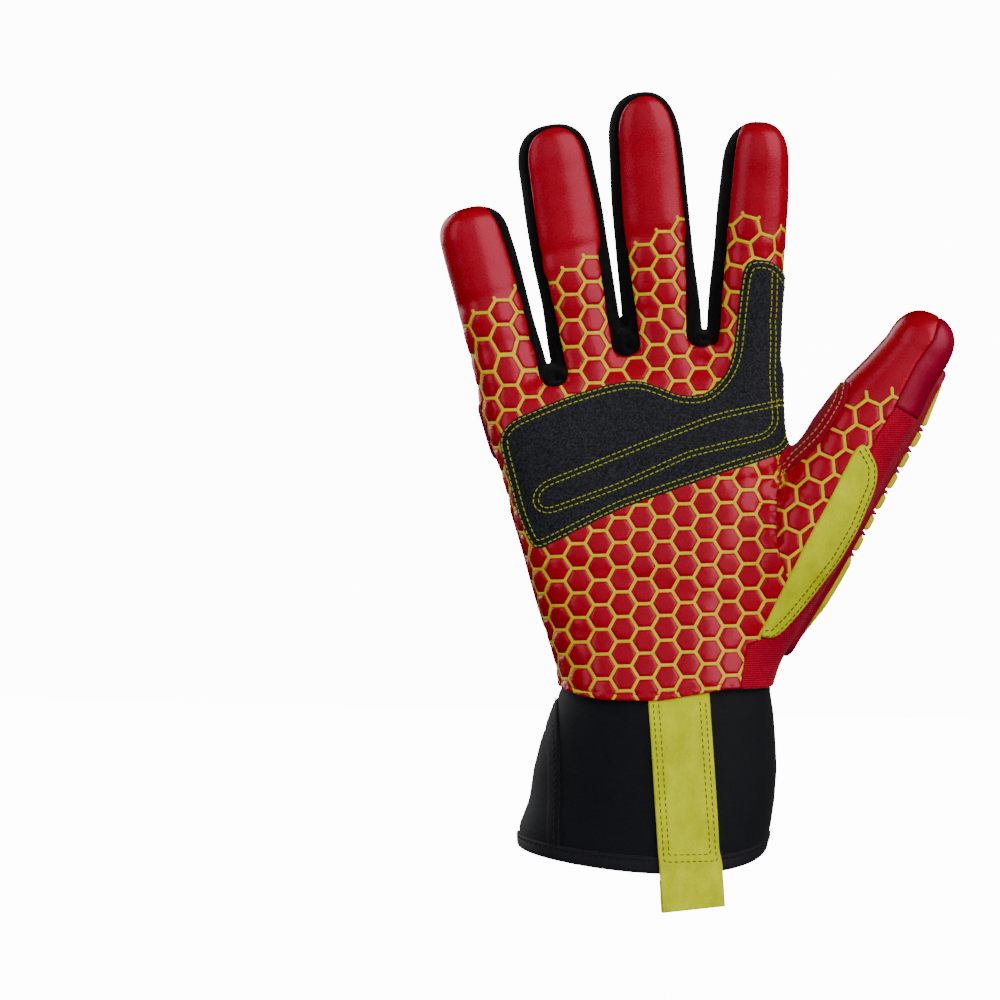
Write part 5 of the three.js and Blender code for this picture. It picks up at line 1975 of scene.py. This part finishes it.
def cuff_tube(places):
    """A closed body through rings round the cuff, each at a height and a distance out."""
    turns = np.arange(TURNS) * math.tau / TURNS
    rings = np.array([on_cuff(turns, up, lift) for up, lift in places])
    faces = grid_faces(len(rings) + 1, TURNS, around=True) % (len(rings) * TURNS)
    return rings.reshape(-1, 3), faces


cuff_ups = np.arange(MOUTH - 0.01, CUFF_TOP, CUFF_STEP)
add_piece("cuff", ["cuff"], neoprene,
          cuff_tube([(up, 0.0) for up in cuff_ups] + [(up, -CUFF_WALL) for up in cuff_ups[::-1]]))

BINDING_HEIGHT = 4.6
BINDING_THICK = 0.9
BINDING_DROP = 1.3
# The binding's section: how far up it the point is, and how far out
BINDING_SECTION = [
    (1.0, 0.0), (0.985, 0.55), (0.94, 0.9), (0.87, 1.0), (0.8, 0.97), (0.74, 0.8), (0.68, 0.97),
    (0.55, 1.06), (0.3, 1.1), (0.12, 1.0), (0.03, 0.7),
]


def binding_up(share):
    return MOUTH + (share * BINDING_HEIGHT - BINDING_DROP) / CUFF_LENGTH


binding_front = [(binding_up(share), out * BINDING_THICK) for share, out in BINDING_SECTION]
binding_rear = [(up, -CUFF_WALL - out) for up, out in binding_front]
add_piece("cuff_binding", ["cuff_binding"], binding_tape,
          cuff_tube(binding_rear + [(binding_up(0), -CUFF_WALL / 2)] + binding_front[::-1]))


def cuff_outward(points, lift):
    """Stitch rows on the cuff: each point moves out from the cuff's middle line."""
    left, right, deep = cuff_row(np.clip(points[:, 2] / CUFF_LENGTH, MOUTH, CUFF_TOP))[:3]
    normals = unit(np.column_stack([(points[:, 0] - (left + right) / 2) / ((right - left) / 2) ** 2,
                                    points[:, 1] / deep**2, np.zeros(len(points))]))
    return points + normals * lift, normals


def on_cuff_face(x, up, face, lift):
    return on_cuff(cuff_turn(x, up, face), up, lift)


# The lowest part of the binding's section is where its stitches are
BINDING_GROOVE = 0.74
binding_row = on_cuff(np.linspace(0, math.tau, 300), binding_up(BINDING_GROOVE), 0.75)
sewn_lines("binding_stitches", [binding_row], black_thread, cuff_outward, 0.1, pitch=2.3,
           length=1.8)


def spread(length, roll, step):
    """Places along a strip, close together where its two ends are rounded."""
    ends = edge_levels(roll)[:-1]
    middle = np.linspace(roll, length - roll, max(2, round((length - 2 * roll) / step)))
    return np.concatenate([ends, middle, [length - end for end in ends[::-1]]])


def strip_body(middle, half, roll, inside):
    """A strip of cloth: a grid of middle points, its half thickness, and how far in each point is."""
    normals = grid_normals(middle)
    thick = (half * (0.2 + 0.8 * quarter_round(inside, roll)))[..., None]
    outer, inner = ((middle + normals * side * thick).reshape(-1, 3) for side in (1, -1))
    return shelled(outer, inner, triangled(grid_faces(*middle.shape[:2])))


# The cuff's seam on the palm side, towards the little finger: a strip with one free edge
SEAM_X = -28.4
SEAM_STRIP = 4.2
SEAM_ROLL = 0.7
SEAM_FADE = 3.0
SEAM_UPS = np.linspace(MOUTH + 0.05, 0.99, 40)
seam_across = spread(SEAM_STRIP, SEAM_ROLL, 0.6)
seam_middle = on_cuff_face(SEAM_X - SEAM_STRIP + seam_across[None, :], SEAM_UPS[:, None],
                           PALM_FACE, 0.1)
seam_inside = np.minimum(SEAM_STRIP - seam_across,
                         SEAM_ROLL * np.minimum(seam_across / SEAM_FADE, 1) + 0.02)
add_piece("cuff_seam", [], neoprene,
          strip_body(seam_middle, 0.55, SEAM_ROLL, seam_inside + 0 * SEAM_UPS[:, None]))
sewn_lines("seam_stitches", [on_cuff_face(SEAM_X - 1.5, SEAM_UPS, PALM_FACE, 0.62)],
           black_thread, cuff_outward, 0.0, pitch=2.2)

# The pull tab: a suede strip down the palm side, folded double past the mouth

SHOULDER = 0.93
TAB_WIDTH = 20.4
TAB_X = 11.9
# The free end's plane: how far forward its middle is, and how that changes across it
TAB_PLANE = (-31.5, 0.272)
TAB_LEAN = math.tan(math.radians(3.2))
TAB_HALF = 0.75
TAB_BELOW = -18.6
TAB_SLANT = 0.09
TAB_TOP = 54.0
TAB_FREE = (5.5, 12.5)
TAB_BACK_END = -8.5
BINDING_CLEAR = 1.15
# The strip's slight waves: their height, the height of one turn, and where they start and end
TAB_WAVE, TAB_WAVE_LENGTH = 0.175, 4.3
TAB_WAVE_START, TAB_WAVE_END = (-5, 10), (38, 48)
# Two U-shaped rows of stitches, one inside the other: how far from the sides, and the lowest point
TAB_ROWS = [(1.7, -2.6), (3.5, -0.3)]
TAB_ROW_TOP = 50.5
TAB_ROW_STEP = 0.7


def tab_place(side, z, lift):
    """A place on the pull tab: across it from its middle, at a height, and outwards."""
    side, z, lift = np.broadcast_arrays(side, z, lift)
    x = TAB_X + (SHOULDER * CUFF_LENGTH - z) * TAB_LEAN + side
    z = z + TAB_SLANT * side * smoothstep(-z, 0.0, -TAB_BELOW)
    up = np.maximum(z + 5.0, MOUTH * CUFF_LENGTH) / CUFF_LENGTH
    over = BINDING_CLEAR * (1 - smoothstep(z, -4.0, 1.5))
    held = on_cuff_face(x, up, PALM_FACE, lift + TAB_HALF + 0.15 + over)
    plane = TAB_PLANE[0] + TAB_PLANE[1] * side - lift
    free = smoothstep(-z, *TAB_FREE)
    y = held[..., 1] * (1 - free) + plane * free
    wave = TAB_WAVE * np.sin(z / TAB_WAVE_LENGTH + 0.6)
    wave = wave * smoothstep(z, *TAB_WAVE_START) * (1 - smoothstep(z, *TAB_WAVE_END))
    return np.stack([held[..., 0], y - wave, z], axis=-1)


def tab_layer(name, nodes, low, high, lift):
    heights = low + spread(high - low, 0.6, 1.1)
    across = spread(TAB_WIDTH, 0.5, 0.9)
    middle = tab_place(across[None, :] - TAB_WIDTH / 2, heights[:, None], lift)
    to_side = np.minimum(across, TAB_WIDTH - across)[None, :]
    to_end = np.minimum(heights - heights[0], heights[-1] - heights)[:, None]
    body = strip_body(middle, TAB_HALF, 0.5, np.minimum(to_side, to_end + 0.05))
    add_piece(name, nodes, yellow_suede, body)


def tab_row(inset, low):
    half = TAB_WIDTH / 2 - inset
    heights = np.arange(TAB_ROW_TOP, low, -TAB_ROW_STEP)
    sides = np.arange(-half, half, TAB_ROW_STEP)
    side = np.concatenate([np.full(len(heights), -half), sides, np.full(len(heights), half)])
    z = np.concatenate([heights, np.full(len(sides), low), heights[::-1]])
    return tab_place(side, z, TAB_HALF)


def tab_outward(points, lift):
    normals = np.tile(unit(np.array([[0.2, -1.0, 0.0]])), (len(points), 1))
    return points + normals * lift, normals


tab_layer("pull_tab", ["pull_tab"], TAB_BELOW, TAB_TOP, 0.0)
tab_layer("pull_tab_fold", [], TAB_BELOW + 0.25, TAB_BACK_END, -2 * TAB_HALF)
sewn_lines("pull_tab_stitches", [tab_row(*row) for row in TAB_ROWS], olive_thread,
           tab_outward, 0.0, pitch=2.1, length=1.5, radius=0.17)

# The hem of the leather is sewn along its fold
sewn_lines("hem_stitches", lines_on_hand(hem_height, [HEM_FOLD], palm_panel_field),
           red_thread, on_hand, 0.0, pitch=2.4, length=1.7)

# The reflective band across the back of the wrist: a flat edge that is sewn, and a puffed part

BAND_HEIGHT = 7.0
BAND_DROP = 2.6
BAND_PUFF = 1.3
BAND_FLAT = 0.22
BAND_THICK = 0.55
BAND_FULLNESS = 2.4
BAND_PLACES, BAND_LINES = 110, 17
BAND_ENDS = (math.radians(36), math.radians(160))
BAND_RADIUS = 40


def band_body():
    turns = np.linspace(*BAND_ENDS, BAND_PLACES)
    shares = np.linspace(0, 1, BAND_LINES)[:, None]
    ups = SHOULDER + (shares * BAND_HEIGHT - BAND_DROP) / CUFF_LENGTH
    middle = on_cuff(turns + 0 * shares, ups + 0 * turns, 0.0)
    puff = 1 - np.abs(2 * np.maximum(shares - BAND_FLAT, 0) / (1 - BAND_FLAT) - 1) ** BAND_FULLNESS
    rise = BAND_THICK * quarter_round(shares * BAND_HEIGHT, 0.8)
    rise = rise + BAND_PUFF * puff * (shares > BAND_FLAT)
    length = (turns - turns[0]) * BAND_RADIUS
    ends = quarter_round(np.minimum(length, length[::-1]), 1.0)
    lift = 0.15 + (rise + 0.4) * (0.3 + 0.7 * ends)
    normals = grid_normals(middle)
    outer, inner = ((middle + normals * part).reshape(-1, 3) for part in (lift[..., None], 0.05))
    return shelled(outer, inner, triangled(grid_faces(*middle.shape[:2])))


add_piece("reflective_band", ["reflective_band"], silver_tape, band_body())
band_row = on_cuff(np.linspace(BAND_ENDS[0] + 0.04, BAND_ENDS[1] - 0.04, 160),
                   SHOULDER - 1.5 / CUFF_LENGTH, 1.0)
sewn_lines("band_stitches", [band_row], black_thread, cuff_outward, 0.1, pitch=2.3,
           length=1.5, radius=0.26)

# The label on the cuff's back, and the plain silver patch on it

LABEL_X, LABEL_WIDTH, LABEL_BOTTOM, LABEL_HEIGHT = -11.6, 45.0, 7.0, 37.0
LABEL_THICK = 0.9
# The corners and the step of the flat grid that both are cut from
LABEL_LOW, LABEL_HIGH, LABEL_STEP = (-40, 2), (16, 50), 0.8
LABEL_LIFT = 0.1
PATCH_WIDTH = 39.6
# The lower edge, the shoulder and the point, as shares of the label's height
LABEL_HEIGHTS = (0.0, 0.72, 1.0)
PATCH_HEIGHTS = (0.42, 0.69, 0.92)


def five_sided(width, heights, grow=0.0):
    """A label's outline in (x, height): flat at the mouth's end, pointed towards the hand."""
    low, shoulder, point = (LABEL_BOTTOM + share * LABEL_HEIGHT for share in heights)
    half = width / 2 + grow
    return np.array([(LABEL_X - half, low - grow), (LABEL_X + half, low - grow),
                     (LABEL_X + half, shoulder), (LABEL_X, point + grow * 1.2),
                     (LABEL_X - half, shoulder)])


def label_piece(name, outline, low, thickness, roll, material):
    """A flat shape laid on the cuff's back, with rounded edges."""
    sheet = flat_sheet(LABEL_LOW, LABEL_HIGH, LABEL_STEP)
    points, faces = cut_panel(*sheet, lambda at: inside_distance(outline, at[:, 0], at[:, 2]),
                              edge_levels(roll))
    lifts = (low + thickness * quarter_round(points[:, 3], roll), low - 0.05)
    outer, inner = (on_cuff_face(points[:, 0], points[:, 2] / CUFF_LENGTH, BACK_FACE, lift)
                    for lift in lifts)
    add_piece(name, [name], material, shelled(outer, inner, faces[:, ::-1]))


label_piece("cuff_label", five_sided(LABEL_WIDTH, LABEL_HEIGHTS), LABEL_LIFT,
            LABEL_THICK, 0.5, label_cloth)
label_piece("label_patch", five_sided(PATCH_WIDTH, PATCH_HEIGHTS),
            LABEL_LIFT + LABEL_THICK, 0.4, 0.4, silver_tape)
# The stitches follow the label's outline, all but its edge at the mouth
label_rim = softened(five_sided(LABEL_WIDTH, LABEL_HEIGHTS, -0.9)[[1, 2, 3, 4, 0]], blur=1)
label_row = on_cuff_face(label_rim[:, 0], label_rim[:, 1] / CUFF_LENGTH, BACK_FACE,
                         LABEL_LIFT + LABEL_THICK)
sewn_lines("label_stitches", [label_row], cream_thread, cuff_outward, 0.0, pitch=1.3,
           length=1.05, radius=0.16)


# The camera, the light and the floor

PHOTO_SCALE = 0.34
PHOTO_PIXELS = 1000
ORIGIN_PIXEL = (643, 850)
# The photograph's scale holds at this distance in front of the hand's middle
SCALE_PLANE = 12.0
LENS = 170.0
SENSOR = 36.0
FLOOR_DROP = 0.034
FLOOR_START = -0.3
BEND_STEPS = 13
PAPER_GLOW = 12.6
BACKDROP = 13.0
MIDDLE = (0.0, 0.0, 0.12)
# Soft boxes in front of the hand and behind it. Only those that are mirrored show in glossy surfaces.
SOFT_BOXES = named_rows(
    "place size power mirrored",
    ("fill", (-0.15, -1.7, 0.4), (1.6, 1.6), 17.0, False),
    ("key", (1.12, -0.95, 0.6), (1.7, 1.8), 21.0, True),
    ("side", (-0.95, -0.75, 0.4), (0.5, 1.2), 2.2, True),
    ("back_fill", (0.15, 1.7, 0.4), (1.6, 1.6), 24.0, False),
    ("back_key", (-1.15, 0.85, 0.6), (1.2, 1.4), 13.0, True),
    ("back_side", (0.95, 0.75, 0.4), (0.5, 1.2), 4.0, False),
)


def photo_place(px, py):
    """The X and Z, in metres, that a pixel of the photograph shows."""
    return (px - ORIGIN_PIXEL[0]) * PHOTO_SCALE * MM, (ORIGIN_PIXEL[1] - py) * PHOTO_SCALE * MM


def add_object(name, data, place=(0, 0, 0), turned=(0, 0, 0)):
    made = bpy.data.objects.new(name, data)
    made.location = place
    made.rotation_euler = turned
    bpy.context.scene.collection.objects.link(made)
    return made


def add_camera():
    distance = PHOTO_PIXELS * PHOTO_SCALE * MM * LENS / SENSOR
    x, z = photo_place(PHOTO_PIXELS / 2, PHOTO_PIXELS / 2)
    data = bpy.data.cameras.new("camera")
    data.lens, data.sensor_width = LENS, SENSOR
    place = (x, -distance - SCALE_PLANE * MM, z)
    bpy.context.scene.camera = add_object("camera", data, place, (math.pi / 2, 0, 0))


def add_light(name, place, size, power, mirrored):
    data = bpy.data.lights.new(name, "AREA")
    data.shape = "RECTANGLE"
    data.size, data.size_y = size
    data.energy = power
    turned = (Vector(MIDDLE) - Vector(place)).to_track_quat("-Z", "Y").to_euler()
    add_object(name, data, place, turned).visible_glossy = mirrored


def add_stage():
    """A pale floor that curves up into a pale wall a good way behind."""
    half, depth, bend, height = 3.0, 2.4, 0.8, 3.2
    floor = cad_box[0][2] - FLOOR_DROP
    profile = [(FLOOR_START, floor)]
    for angle in np.linspace(0, math.pi / 2, BEND_STEPS):
        profile.append((depth - bend + bend * math.sin(angle), floor + bend * (1 - math.cos(angle))))
    profile.append((depth, floor + height))
    points = [(x, y, z) for y, z in profile for x in (-half, half)]
    faces = [(2 * i, 2 * i + 1, 2 * i + 3, 2 * i + 2) for i in range(len(profile) - 1)]
    mesh = bpy.data.meshes.new("floor")
    mesh.from_pydata(points, [], faces)
    mesh.polygons.foreach_set("use_smooth", [True] * len(faces))
    paper = Finish("pale_paper", (0.86, 0.86, 0.86), 0.9, Specular_IOR_Level=0.1,
                   Emission_Color=(1, 1, 1, 1), Emission_Strength=PAPER_GLOW)
    mesh.materials.append(paper.bump((paper.noise(1.5, 2), 0.02)))
    piece = add_object("floor", mesh)
    piece.visible_diffuse = False
    piece.visible_glossy = False


def add_world(strength):
    world = bpy.data.worlds.new("studio")
    world.use_nodes = True
    background = world.node_tree.nodes["Background"]
    background.inputs["Color"].default_value = (1.0, 1.0, 1.0, 1)
    background.inputs["Strength"].default_value = strength
    world.cycles_visibility.diffuse = False
    world.cycles_visibility.glossy = False
    bpy.context.scene.world = world


add_camera()
add_stage()
add_world(BACKDROP)
for name, box in SOFT_BOXES.items():
    add_light(name, **box)
